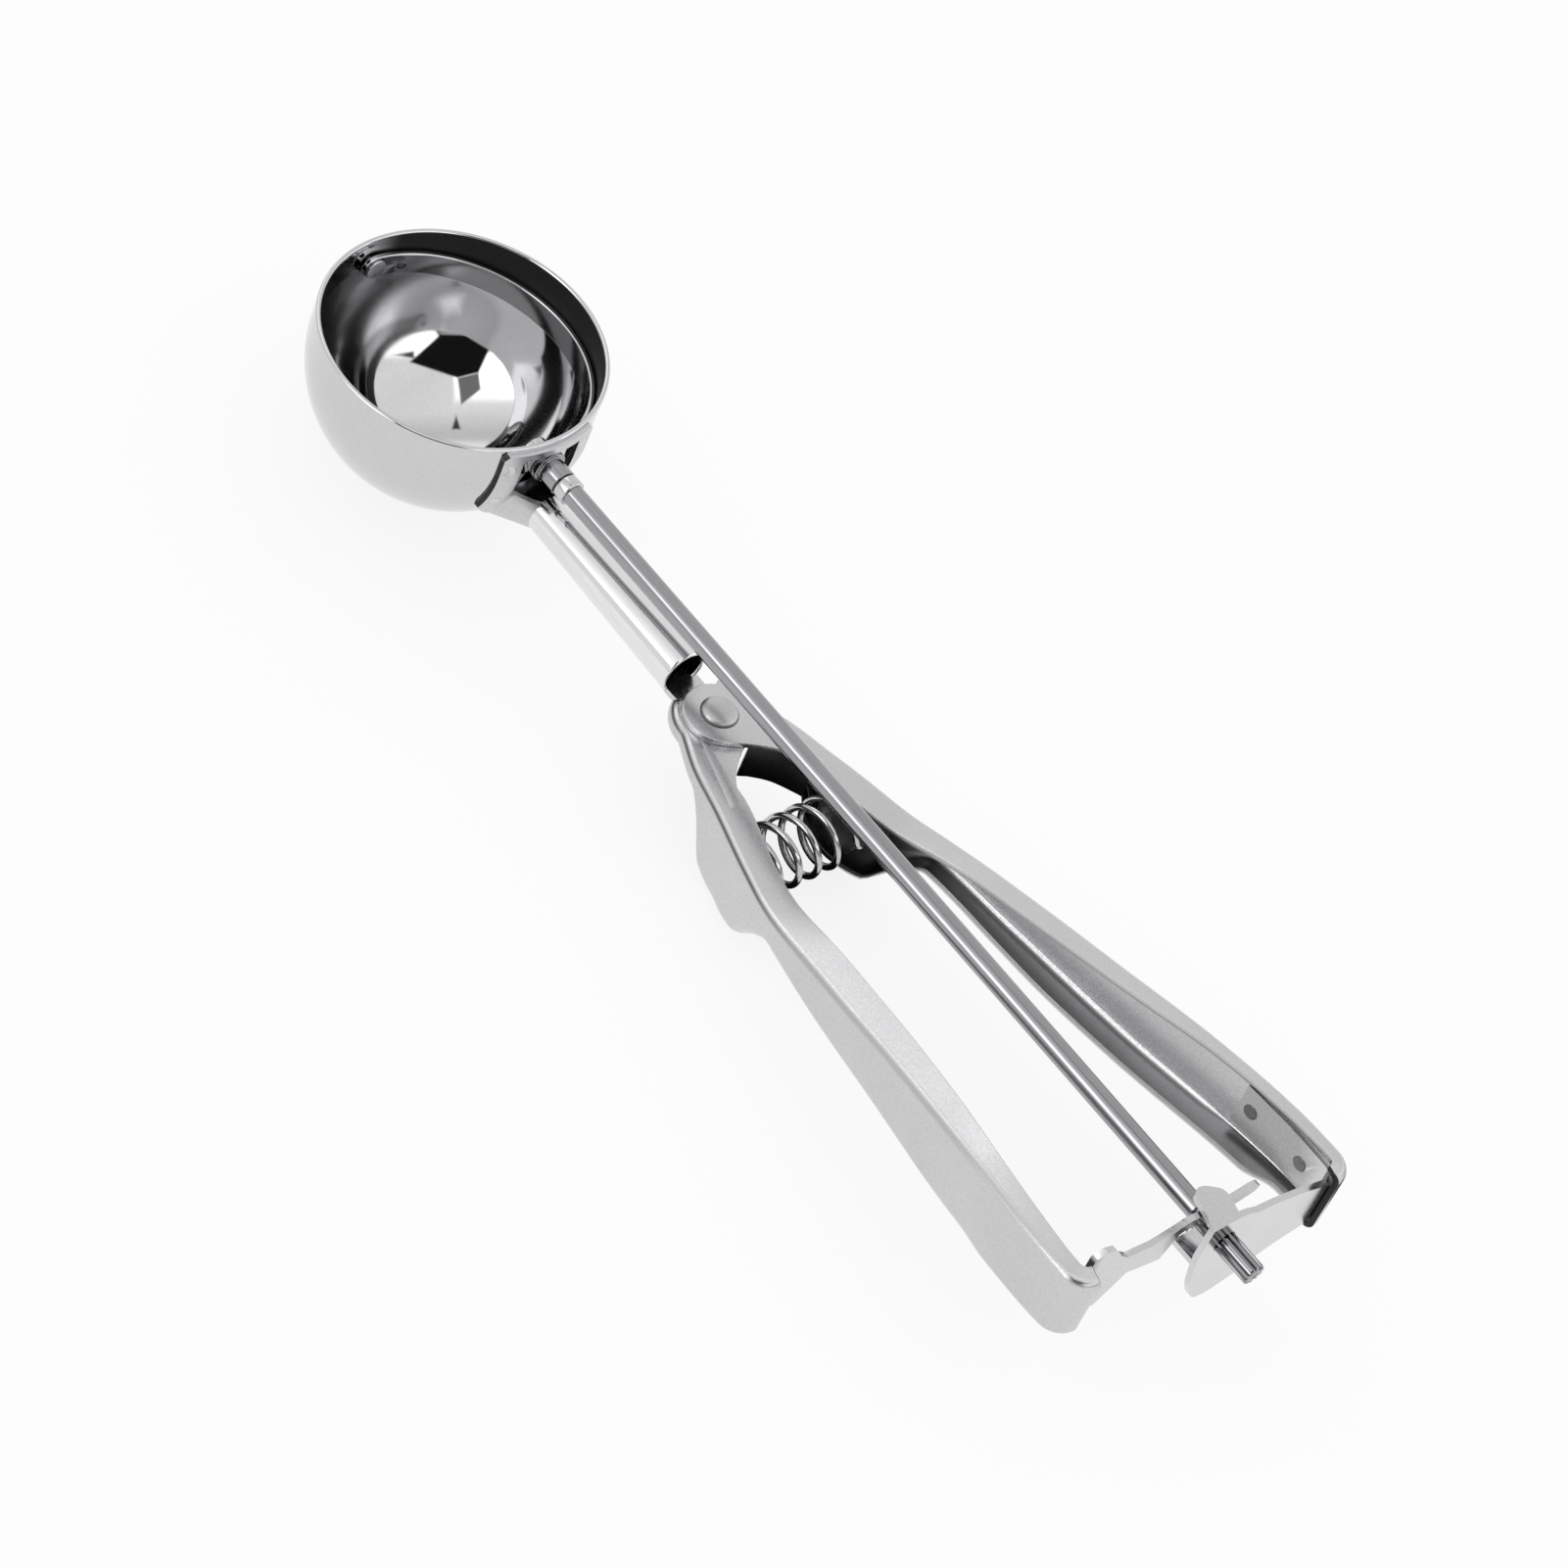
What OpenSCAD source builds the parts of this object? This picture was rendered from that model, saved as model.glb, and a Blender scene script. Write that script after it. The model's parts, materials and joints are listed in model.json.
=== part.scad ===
// Squeeze-handle ice cream scoop, millimetres, +Z up.
// X runs along the spindle from the bowl to the handle ends.
// +Y is the side of the fixed handle and -Y the side of the moving one.
// The work frame has the bowl's sphere at x = 0 and the spindle's axis at z = 0.
// placed() moves it to the row frame: centred on X, standing on z = 0.

/* [Bowl] */
// Outside radius of the bowl
bowl_radius = 22; // [18:0.5:28]
// Sheet thickness of the bowl
bowl_wall = 0.8; // [0.6:0.1:1.2]
// Height of the rim above the spindle's axis
rim_height = 4.9; // [4.5:0.1:8]

/* [Spindle] */
// Diameter of the long rod
rod_diameter = 3.3; // [3:0.1:3.8]
// Clearance between a turning pin and its hole, on the radius
running_gap = 0.05; // [0.03:0.01:0.08]
// Length of the fluted end that stands out behind the bracket
pinion_overhang = 5.7; // [4:0.1:8]

/* [Scraper] */
// Width of the scraper strip
blade_width = 4; // [3.2:0.1:5]
// Thickness of the scraper strip
blade_thickness = 0.8; // [0.6:0.1:1]
// Angle of the blade below the spindle's plane at rest
blade_rest_angle = 6; // [5:0.5:10]

/* [Neck] */
// Drop of the neck's axis below the spindle
neck_drop = 7.4; // [7.2:0.1:8.5]
// Radius of the neck where it leaves the saddle
neck_front_radius = 3.1; // [2.8:0.1:3.4]
// Radius of the neck at its open rear mouth
neck_mouth_radius = 3.9; // [3.6:0.1:4.2]
// Half width of the saddle sheet on the bowl
saddle_half_width = 8.3; // [7.5:0.1:9.5]

/* [Pivot] */
// Distance from the bowl's centre to the pivot rivet
pivot_distance = 66.5; // [64:0.5:75]
// Diameter of the rivet's shank
rivet_diameter = 4; // [3.4:0.1:4.4]
// Diameter of the rivet's domed head
rivet_head_diameter = 5.8; // [5.4:0.1:6.6]

/* [Handles] */
// Sheet thickness of the handles, the bracket and the rack
sheet = 1; // [0.8:0.05:1.1]
// Distance from the pivot to the rack's mid surface
rack_radius = 104.5; // [98:0.5:112]
// Half of the width across both handles at the grip
grip_half_width = 25.3; // [24:0.1:28]
// Half of the width across both handles at the waist
waist_half_width = 20.8; // [19:0.1:22]
// Height of the grip's web
grip_height = 12.6; // [11:0.1:14]
// Depth of the finger guard below the pivot's top face
guard_depth = 12.8; // [12.2:0.1:13.2]
// Width of the lower flange at the grip
lower_flange = 5.6; // [4:0.1:7]

/* [Spring] */
// Outside diameter of the coil spring
spring_diameter = 10.8; // [10.2:0.1:11]
// Wire diameter of the spring
spring_wire = 1; // [0.8:0.05:1.1]
// Number of full turns
spring_turns = 4.5; // [3.5:0.5:5.5]

/* [Hidden] */
$fn = 96;
fine = 0.01;

row_shift = (bowl_radius + 1 - pivot_distance - rack_radius - 4.3 - pinion_overhang) / 2;
rod_radius = rod_diameter / 2;

bowl_inner = bowl_radius - bowl_wall;
blade_outer = bowl_inner - 0.25;
blade_inner = blade_outer - blade_thickness;
end_radius = 1.2;
front_pin_radius = 0.9;

bushing_radius = rod_radius + 0.75;
sleeve_radius = rod_radius + 0.45;
hub_radius = rod_radius + 0.55;

saddle_sheet = 0.8;
saddle_outer = bowl_radius + saddle_sheet;
neck_start = bowl_radius + 3.2;
flare_start = bowl_radius - 6;
flare_radius = 7.6;
saddle_window = 5.2;
mouth_x = pivot_distance - 8.2;
neck_wall = 0.7;
weld_radius = 0.9;

ear_top = -neck_drop;
fixed_ear_z = ear_top - sheet;
moving_ear_z = fixed_ear_z - 0.1 - sheet;
tongue_z = moving_ear_z - 0.1 - sheet;
ear_radius = 5.4;
lip_bottom = moving_ear_z - 5;
nose_radius = 6.9;
skirt_depth = 2.6;
ear_lift = sheet + 0.1;
bore_radius = rivet_diameter / 2 + running_gap;

end_bend = 4;
fixed_run = rack_radius + 0.7;
moving_run = rack_radius - 3;
tab_y = grip_half_width - sheet - 0.05;

// Half width of the handle's web, by distance behind the pivot
width_line = [
  [0, 6.9], [6, 9.5], [13.5, 11.5], [23.5, 14.6], [33.5, 17.3], [48.5, waist_half_width - 1.2],
  [63.5, waist_half_width + 0.6], [rack_radius - 22, grip_half_width - 1.4],
  [rack_radius - 11, grip_half_width - 0.3], [rack_radius - 5, grip_half_width],
  [rack_radius + 5, grip_half_width]
];
// Height of the handle's upper face
top_line = [
  [0, moving_ear_z + sheet + 0.06], [14, moving_ear_z + sheet + 0.06],
  [27, moving_ear_z + sheet + 0.3], [43.5, -5.7], [63.5, -2.6],
  [rack_radius - 20, 0.1], [rack_radius, 1.4], [rack_radius + 5, 1.5]
];
// Height of the handle's lower edge, with the finger guard
bottom_line = [
  [0, moving_ear_z + sheet - skirt_depth], [7, moving_ear_z + sheet - 3], [10.5, moving_ear_z + sheet - 6],
  [14.5, moving_ear_z + sheet - guard_depth + 0.5], [18.5, moving_ear_z + sheet - guard_depth],
  [22, moving_ear_z + sheet - guard_depth + 2], [25, moving_ear_z - 7.3], [28.5, moving_ear_z - 4.4],
  [33.5, moving_ear_z - 3.1],
  [48.5, -13.3], [rack_radius - 34, -13.2], [rack_radius - 12, 0.9 - grip_height],
  [rack_radius + 5, 2.2 - grip_height]
];
// Width of the upper flange
flange_line = [
  [0, 3.6], [6, 4.6], [14, 5.6], [26, 5.2], [45, 5.3], [70, 4.6], [rack_radius - 20, 3.6],
  [rack_radius - 3, 2.8], [rack_radius + 5, 2.4]
];
// Rise of the upper flange towards its free edge
flare_line = [
  [0, 0], [22, 0], [45, 1.2], [rack_radius - 20, 1], [rack_radius - 3, 0.5], [rack_radius + 5, 0.4]
];
// Width of the lower flange
lower_line = [
  [0, sheet + 0.4], [30, sheet + 0.4], [40, 4.4], [60, lower_flange],
  [rack_radius - 9, lower_flange - 0.2], [rack_radius - 3, 3.6], [rack_radius + 5, 3.6]
];
// Radius of the web's upper and lower corners
corner_line = [[0, sheet + 0.3], [28, sheet + 0.3], [45, 1.6], [rack_radius + 5, 1.4]];
lower_corner_line = [[0, sheet + 0.25], [30, sheet + 0.25], [40, 1.8], [rack_radius + 5, 1.4]];

pitch_radius = rod_radius - 0.05;
pinion_teeth = 10;
tooth_pitch = 2 * PI * pitch_radius / pinion_teeth;
addendum = 0.2;
dedendum = 0.3;
pinion_core = 1;
pinion_start = pivot_distance + rack_radius - 1.8;
pinion_end = pivot_distance + rack_radius + 4.3 + pinion_overhang;
plate_x = pivot_distance + fixed_run + end_bend - 0.05 - 2 * sheet;
rack_top = 3.8;
keeper_z = rack_top + 0.3;
floor_z = -4.1;

spring_x = pivot_distance + 20.2;
spring_z = moving_ear_z - 0.3 - spring_diameter / 2;
spring_half = 10.4;
spring_radius = (spring_diameter - spring_wire) / 2;
seat_radius = spring_diameter / 2;

function find(t, x, k = 0) = k >= len(t) - 2 || x < t[k + 1][0] ? k : find(t, x, k + 1);
function rise(t, k) = (t[k + 1][1] - t[k][1]) / (t[k + 1][0] - t[k][0]);
function mean_slope(a, b) = a * b <= 0 ? 0 : 2 * a * b / (a + b);
function slope(t, k) =
  k == 0 ? rise(t, 0) : k == len(t) - 1 ? rise(t, k - 1) : mean_slope(rise(t, k - 1), rise(t, k));
function cubic(a, b, da, db, w) =
  a * (1 + 2 * w) * (1 - w) * (1 - w) + da * w * (1 - w) * (1 - w)
  + b * w * w * (3 - 2 * w) + db * w * w * (w - 1);
// Smooth value of a line of stations, with no overshoot between them
function along(t, x) =
  let (k = find(t, x), h = t[k + 1][0] - t[k][0], w = min(1, max(0, (x - t[k][0]) / h)))
  cubic(t[k][1], t[k + 1][1], slope(t, k) * h, slope(t, k + 1) * h, w);

// Stations of a handle: distance behind the pivot, then degrees round a bend.
// Degrees below zero go round the nose in front of the pivot, above zero round the end.
run_steps = 60;
bend_steps = 8;
nose_steps = 6;
function stations(run, nose) = [
  for (i = [-nose_steps:-1]) [0, nose * i / nose_steps],
  for (i = [0:run_steps]) [run * i / run_steps, 0],
  for (i = [1:bend_steps]) [run, 90 * i / bend_steps]
];
function plan_point(s) =
  s[1] < 0 ? [pivot_distance + nose_radius * sin(s[1]), nose_radius * cos(s[1])] :
  [pivot_distance + s[0] + end_bend * sin(s[1]),
   along(width_line, s[0]) - end_bend * (1 - cos(s[1]))];
function plan_slope(s) =
  s[0] == 0 ? 0 : (along(width_line, s[0] + 0.2) - along(width_line, s[0] - 0.2)) / 0.4;
// Unit vector from the web's outer face into the handle
function plan_inward(s) =
  s[1] != 0 ? [-sin(s[1]), -cos(s[1])] : let (d = plan_slope(s)) [d, -1] / sqrt(1 + d * d);

corner_steps = 5;
function corner(cu, cv, r, a, b) =
  [for (i = [0:corner_steps]) let (q = a + (b - a) * i / corner_steps) [cu + r * cos(q), cv + r * sin(q)]];
function section(top, bottom, ft, fb, rt, rb, flare) = concat(
  [[ft, top + flare]],
  corner(rt, top - rt, rt, 90, 180),
  corner(rb, bottom + rb, rb, 180, 270),
  [[fb, bottom], [fb, bottom + sheet]],
  corner(rb, bottom + rb, rb - sheet, 270, 180),
  corner(rt, top - rt, rt - sheet, 180, 90),
  [[ft, top - sheet + flare]]
);
function ring(s, lift) =
  let (
    x = s[0], p = plan_point(s), n = plan_inward(s),
    raised = lift * (1 - min(1, max(0, (x - 14) / 14))),
    c = section(
      along(top_line, x) + raised, along(bottom_line, x), along(flange_line, x),
      along(lower_line, x), along(corner_line, x), along(lower_corner_line, x), along(flare_line, x))
  )
  [for (q = c) [p[0] + n[0] * q[0], p[1] + n[1] * q[0], q[1]]];
ring_size = 4 * (corner_steps + 1) + 4;
function skin(rows, size) = concat(
  [for (i = [0:rows - 2], j = [0:size - 1])
    let (a = i * size + j, b = i * size + (j + 1) % size) [a, b, b + size]],
  [for (i = [0:rows - 2], j = [0:size - 1])
    let (a = i * size + j, b = i * size + (j + 1) % size) [a, b + size, a + size]]
);
// The C section's end caps, as quads between its outer and inner line
function cap(base, size, flip) = [
  for (j = [0:size / 2 - 2])
    let (a = base + j, b = base + j + 1, c = base + size - 2 - j, d = base + size - 1 - j)
    flip ? [a, d, c, b] : [a, b, c, d]
];

module placed() {
  translate([row_shift, 0, bowl_radius]) children();
}

module along_x(x, r, length) {
  translate([x, 0, 0]) rotate([0, 90, 0]) cylinder(r = r, h = length);
}

module post(x, y, z, r, height) {
  translate([x, y, z]) cylinder(r = r, h = height);
}

// The channel of one handle; it is drawn on +Y
module channel(lift, run, nose) {
  rows = len(stations(run, nose));
  polyhedron(
    points = [for (s = stations(run, nose)) each ring(s, lift)],
    faces = concat(
      skin(rows, ring_size),
      cap(0, ring_size, false),
      cap((rows - 1) * ring_size, ring_size, true)),
    convexity = 8);
}

// Front of the handle: flat ear round the rivet, with the wall that is folded down from its inner edge
module ear(z) {
  difference() {
    union() {
      post(pivot_distance, 0, z, ear_radius, sheet);
      translate([pivot_distance, 0, z]) linear_extrude(sheet) polygon([
        [3, -3.6], [5.2, -2], [7, 1.2], [10, 4.6], [14, 7], [14, 9], [2, 5]
      ]);
      translate([pivot_distance, 0, lip_bottom]) linear_extrude(z + sheet / 2 - lip_bottom) polygon([
        [7, 1.2], [10, 4.6], [14, 7], [13.5, 7.9], [9.4, 5.5], [6.1, 1.8]
      ]);
    }
    post(pivot_distance, 0, z - 1, bore_radius, sheet + 2);
  }
}

module handle(z, lift, run, nose) {
  ear(z);
  channel(lift, run, nose);
}

// Sphere with a straight band from its middle up, as the bowl's wall goes
module bowl_form(r, height) {
  sphere(r = r, $fn = 144);
  cylinder(r = r, h = height, $fn = 144);
}

module bowl() {
  color("silver") placed() difference() {
    union() {
      difference() {
        sphere(r = bowl_radius, $fn = 144);
        sphere(r = bowl_inner, $fn = 144);
        translate([-50, -50, 0]) cube([100, 100, 100]);
      }
      difference() {
        cylinder(r = bowl_radius, h = rim_height, $fn = 144);
        translate([0, 0, -fine]) cylinder(r = bowl_inner, h = rim_height + 1, $fn = 144);
      }
    }
    along_x(10, bushing_radius, 20);
    along_x(-30, front_pin_radius, 20);
  }
}

module front_pin() {
  color("gainsboro") placed() {
    along_x(-bowl_radius, front_pin_radius, bowl_radius - blade_inner + 0.6);
    along_x(-blade_inner + 0.1, 1.7, 0.5);
    difference() {
      along_x(-bowl_radius - 1, 1.6, 1.4);
      bowl_form(bowl_radius, 10);
    }
  }
}

// Half ring on the +Y side, turned down by the rest angle, with a round pad at each end
module scraper_blade() {
  color("lightgray") placed() rotate([-blade_rest_angle, 0, 0]) difference() {
    intersection() {
      difference() {
        sphere(r = blade_outer, $fn = 144);
        sphere(r = blade_inner, $fn = 144);
      }
      union() {
        translate([-30, 0, -blade_width / 2]) cube([60, 30, blade_width]);
        along_x(-30, blade_width / 2, 60);
      }
    }
    along_x(-30, front_pin_radius + running_gap, 20);
    along_x(10, end_radius, 20);
  }
}

module blade_hub() {
  back = sqrt(blade_inner * blade_inner - hub_radius * hub_radius) - 0.02;
  color("gray") placed() difference() {
    along_x(back - 1.4, hub_radius, 1.4);
    along_x(10, end_radius, 20);
  }
}

module spindle_bushing() {
  seat = bowl_radius + fine;
  hole = rod_radius + running_gap;
  color("darkgray") placed() rotate([0, 90, 0]) rotate_extrude() polygon([
    [hole, bowl_inner - 0.1], [bushing_radius, bowl_inner - 0.1], [bushing_radius, seat],
    [bushing_radius + 0.35, seat], [bushing_radius + 0.35, seat + 0.9], [sleeve_radius, seat + 0.9],
    [sleeve_radius, bowl_radius + 4.1], [hole, bowl_radius + 4.1]
  ]);
}

module spindle_rod() {
  color("white") placed() {
    along_x(blade_outer + 0.1, rod_radius, pinion_start - blade_outer - 0.1);
    along_x(blade_inner - 1.9, end_radius, 3);
    along_x(pinion_start - 1, pinion_core, pinion_end - pinion_start + 0.8);
  }
}

module spindle_collar() {
  color("gainsboro") placed() difference() {
    along_x(bowl_radius + 4.4, rod_radius + 0.45, 2);
    along_x(10, rod_radius, 30);
  }
}

// Sheet cup on the back of the bowl, opening into the flare of the neck
module neck_saddle() {
  color("lightgray") placed() difference() {
    union() {
      intersection() {
        bowl_form(saddle_outer, 10);
        translate([10, -saddle_half_width, -13]) cube([30, 2 * saddle_half_width, 17.2]);
        translate([10, 0, -2.4]) rotate([0, 90, 0]) cylinder(r = saddle_half_width + 1.8, h = 30);
      }
      translate([flare_start, 0, -neck_drop]) rotate([0, 90, 0])
        cylinder(r1 = flare_radius, r2 = neck_front_radius, h = neck_start - flare_start);
    }
    bowl_form(bowl_radius, 10);
    translate([10, -saddle_window, -5]) cube([20, 2 * saddle_window, 5 + bushing_radius + 0.5]);
    translate([flare_start - fine, 0, -neck_drop]) rotate([0, 90, 0])
      cylinder(r1 = flare_radius - neck_wall, r2 = neck_front_radius - neck_wall,
        h = neck_start - flare_start + 2 * fine);
    saddle_spots(0);
  }
}

module saddle_spots(lift) {
  for (side = [-1, 1], tilt = [-3, 16]) {
    rotate([0, tilt, 0]) rotate([0, 0, side * 17.6])
      along_x(bowl_radius, weld_radius, saddle_sheet + (lift > 0 ? lift : 1));
  }
}

module saddle_welds() {
  color("gray") placed() difference() {
    saddle_spots(0.1);
    bowl_form(bowl_radius, 10);
  }
}

module neck_tube() {
  tube_length = mouth_x - neck_start;
  color("lightgray") placed() {
    difference() {
      translate([neck_start, 0, -neck_drop]) rotate([0, 90, 0])
        cylinder(r1 = neck_front_radius, r2 = neck_mouth_radius, h = tube_length);
      translate([neck_start - fine, 0, -neck_drop]) rotate([0, 90, 0])
        cylinder(r1 = neck_front_radius - neck_wall, r2 = neck_mouth_radius - neck_wall,
          h = tube_length + 2 * fine);
    }
    difference() {
      union() {
        intersection() {
          translate([mouth_x - 7, -4, tongue_z]) cube([7, 8, sheet]);
          translate([neck_start, 0, -neck_drop]) rotate([0, 90, 0])
            cylinder(r1 = neck_front_radius, r2 = neck_mouth_radius, h = tube_length);
        }
        translate([mouth_x - 0.1, -2.6, tongue_z]) cube([5.2, 6, sheet]);
        post(pivot_distance, 0, tongue_z, ear_radius - 0.6, sheet);
      }
      post(pivot_distance, 0, tongue_z - 1, rivet_diameter / 2, sheet + 2);
    }
  }
}

module fixed_handle() {
  color("silver") placed() handle(fixed_ear_z, ear_lift, fixed_run, 50);
}

module moving_handle() {
  color("silver") placed() mirror([0, 1, 0]) handle(moving_ear_z, 0, moving_run, 58);
}

module pivot_rivet() {
  head = rivet_head_diameter / 2;
  dome = 1.2;
  big = (head * head + dome * dome) / (2 * dome);
  color("whitesmoke") placed() {
    post(pivot_distance, 0, tongue_z - 0.8, rivet_diameter / 2, ear_top - tongue_z + 1);
    post(pivot_distance, 0, tongue_z - 1, head, 1);
    intersection() {
      translate([pivot_distance, 0, ear_top + dome - big]) sphere(r = big);
      post(pivot_distance, 0, ear_top, head, 3);
    }
  }
}

// Everything outside the web's inner face, used to seat pieces on it
module web_outside(run) {
  plan = [for (s = stations(run, 10)) if (s[1] == 0) plan_point(s) + sheet * plan_inward(s)];
  translate([0, 0, -30]) linear_extrude(60) polygon(concat(
    plan, [[pivot_distance + run, 60], [pivot_distance - 20, 60], [pivot_distance - 20, 6.2]]));
}

// Outline of a spring seat: a disc, cut flat where the channel's floor and roof are
function seat_low(dx) = max(
  spring_z - sqrt(seat_radius * seat_radius - dx * dx),
  along(bottom_line, spring_x - pivot_distance + dx) + sheet + 0.3);
function seat_high(dx) = min(
  spring_z + sqrt(seat_radius * seat_radius - dx * dx), moving_ear_z - 0.4);
seat_steps = 24;

module spring_seat(run) {
  difference() {
    union() {
      translate([0, spring_half, 0]) mirror([0, 1, 0]) rotate([90, 0, 0]) linear_extrude(8) polygon(concat(
        [for (i = [0:seat_steps]) let (dx = -seat_radius * cos(180 * i / seat_steps))
          [spring_x + dx, seat_low(dx)]],
        [for (i = [seat_steps - 1:-1:1]) let (dx = -seat_radius * cos(180 * i / seat_steps))
          [spring_x + dx, seat_high(dx)]]));
      translate([spring_x, spring_half + 0.5, spring_z]) rotate([90, 0, 0])
        cylinder(r = spring_radius - spring_wire / 2 - 0.3, h = 2.1);
    }
    web_outside(run);
  }
}

module fixed_spring_seat() {
  color("gray") placed() spring_seat(fixed_run);
}

module moving_spring_seat() {
  color("gray") placed() mirror([0, 1, 0]) spring_seat(moving_run);
}

// Centre line of the spring: the coil, an elbow at each end, and a straight lead along Y
steps = 8;
lead = spring_wire;
elbow = spring_wire;
coil_half = spring_half - 0.02 - lead - elbow;
coil_start = 22;
function coil_point(q) =
  let (a = coil_start + 360 * spring_turns * q)
  [spring_x + spring_radius * cos(a), coil_half * (1 - 2 * q), spring_z + spring_radius * sin(a)];
coil_rows = ceil(spring_turns * steps);
coil = [for (i = [0:coil_rows]) coil_point(i / coil_rows)];
// Elbow and lead that leave point p along t and end along d
function ending(p, t, d) = [
  for (a = [30, 60, 90]) p + elbow * (sin(a) * t + (1 - cos(a)) * d),
  p + elbow * (t + d) + lead * d
];
function turned(a, way) = way * [-sin(a), 0, cos(a)];
start_end = ending(coil[0], turned(coil_start, -1), [0, 1, 0]);
last_end = ending(coil[coil_rows], turned(coil_start + 360 * spring_turns, 1), [0, -1, 0]);
spring_line = concat([for (i = [3:-1:0]) start_end[i]], coil, last_end);
function unit(v) = v / norm(v);
function tangent(line, i) =
  unit(line[min(len(line) - 1, i + 1)] - line[max(0, i - 1)]);
function wire_ring(c, t, r) =
  let (u = unit([c[0] - spring_x, 0, c[2] - spring_z]), w = unit(cross(t, u)), v = cross(w, t))
  [for (k = [0:5]) c + r * (cos(60 * k) * v + sin(60 * k) * w)];
wire_points = [
  for (i = [0:len(spring_line) - 1])
    each wire_ring(spring_line[i], tangent(spring_line, i), spring_wire / 2)
];
// Least clear distance between wire a turn or more apart, on the centre line's points
function near_turns(line) = min([
  for (i = [0:len(line) - 1], j = [i + 6:1:len(line) - 1]) norm(line[i] - line[j])
]);
echo(least_spring_gap = near_turns(spring_line) - spring_wire);

module return_spring() {
  rows = len(spring_line);
  last = (rows - 1) * 6;
  color("gainsboro") placed() polyhedron(
    points = wire_points,
    faces = concat(
      skin(rows, 6),
      [for (k = [1:4]) [0, k + 1, k]],
      [for (k = [1:4]) [last, last + k, last + k + 1]]),
    convexity = 10);
}

// Plan of a sheet: tab on the web's inner face, round bend, then the plate
function arc(cx, cy, r, a, b, n) =
  [for (i = [0:n]) let (q = a + (b - a) * i / n) [cx + r * cos(q), cy + r * sin(q)]];

// Line at a depth under the web's outer face, from the tab's free end to where the web runs straight
function web_line(from, depth) = [
  for (i = [0:6])
    let (s = [from - pivot_distance + i * (pivot_distance + rack_radius - 5 - from) / 6, 0])
    plan_point(s) + depth * plan_inward(s)
];
function reversed(list) = [for (i = [len(list) - 1:-1:0]) list[i]];

module tab_bend(from, bend_x, top, bottom) {
  translate([0, 0, bottom]) linear_extrude(top - bottom) {
    polygon(concat(
      web_line(from, sheet + 0.05),
      arc(bend_x, tab_y - 3, 3, 90, 0, 12),
      arc(bend_x, tab_y - 3, 3 - sheet, 0, 90, 12),
      reversed(web_line(from, 2 * sheet + 0.05))));
  }
}

tab_from = pivot_distance + rack_radius - 15;
bracket_bend_x = pivot_distance + fixed_run - 0.05 + end_bend - sheet - 3;
tab_top = -1.2;
tab_bottom = -8.9;
weld_z = -5;
bracket_weld_x = [tab_from + 2.2, tab_from + 12.4];
rack_weld_x = [tab_from + 2.2, tab_from + 9.4];

module web_spots(places, proud) {
  for (x = places) {
    s = [x - pivot_distance, 0];
    seat = plan_point(s) + (sheet + fine) * plan_inward(s);
    translate([seat[0], seat[1], weld_z]) rotate([90, 0, atan(plan_slope(s))])
      cylinder(r = 1.2, h = sheet + 0.05 + proud);
  }
}

// Tongue over the rack and floor under the pinion, bent forward from the plate
module keeper() {
  translate([plate_x + sheet / 2, 0, keeper_z]) linear_extrude(sheet) polygon([
    [0, -4.4], [-2.3, -3.4], [-5.5, -2.8], [-6.2, -1.6], [-6, -0.4], [-4.1, 2], [0, 1]
  ]);
  translate([plate_x - 4.2, -3, floor_z - sheet]) cube([4.2 + sheet / 2, 6, sheet]);
}

module guide_bracket() {
  outer = bracket_bend_x + 3;
  near = tab_y - 3;
  color("silver") placed() difference() {
    union() {
      keeper();
      tab_bend(tab_from, bracket_bend_x, tab_top, tab_bottom);
      intersection() {
        translate([outer - sheet, -20, -30]) cube([sheet, 20 + near + 0.1, 60]);
        translate([plate_x - 5, 0, 0]) rotate([90, 0, 90]) linear_extrude(20) polygon([
          [near + 0.1, tab_top], [near - 0.2, tab_top], [near - 0.2, -0.6], [14, 1.8], [9, 3], [5, 3.6],
          [2.4, 4.8], [0.6, keeper_z + sheet], [-4.4, keeper_z + sheet], [-4.4, -1.4], [-3.6, -5],
          [-2.4, -9], [-0.6, -12.6], [1, -14.2], [3.6, -14.6], [8, -13.6], [12, -11.6], [15, -10.6],
          [near - 0.2, -9.6], [near - 0.2, tab_bottom], [near + 0.1, tab_bottom]
        ]);
      }
    }
    along_x(plate_x - 5, pitch_radius + addendum + running_gap, 12);
    web_spots(bracket_weld_x, 1);
  }
}

module bracket_welds() {
  color("gray") placed() web_spots(bracket_weld_x, 0.1);
}

module rack_welds() {
  color("gray") placed() mirror([0, 1, 0]) web_spots(rack_weld_x, 0.1);
}

module pinion() {
  tip = pitch_radius + addendum;
  root = pitch_radius - dedendum;
  color("lightgray") placed() translate([pinion_start, 0, 0]) rotate([90, 0, 90])
    linear_extrude(pinion_end - pinion_start) difference() {
      union() {
        circle(r = root + 0.02);
        for (k = [0:pinion_teeth - 1]) {
          rotate(360 / pinion_teeth * (k + 0.5) + 90) polygon([
            [root - 0.2, -0.3], [root, -0.3], [pitch_radius, -0.2], [tip, -0.09],
            [tip, 0.09], [pitch_radius, 0.2], [root, 0.3], [root - 0.2, 0.3]
          ]);
        }
      }
      circle(r = pinion_core);
    }
}

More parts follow.
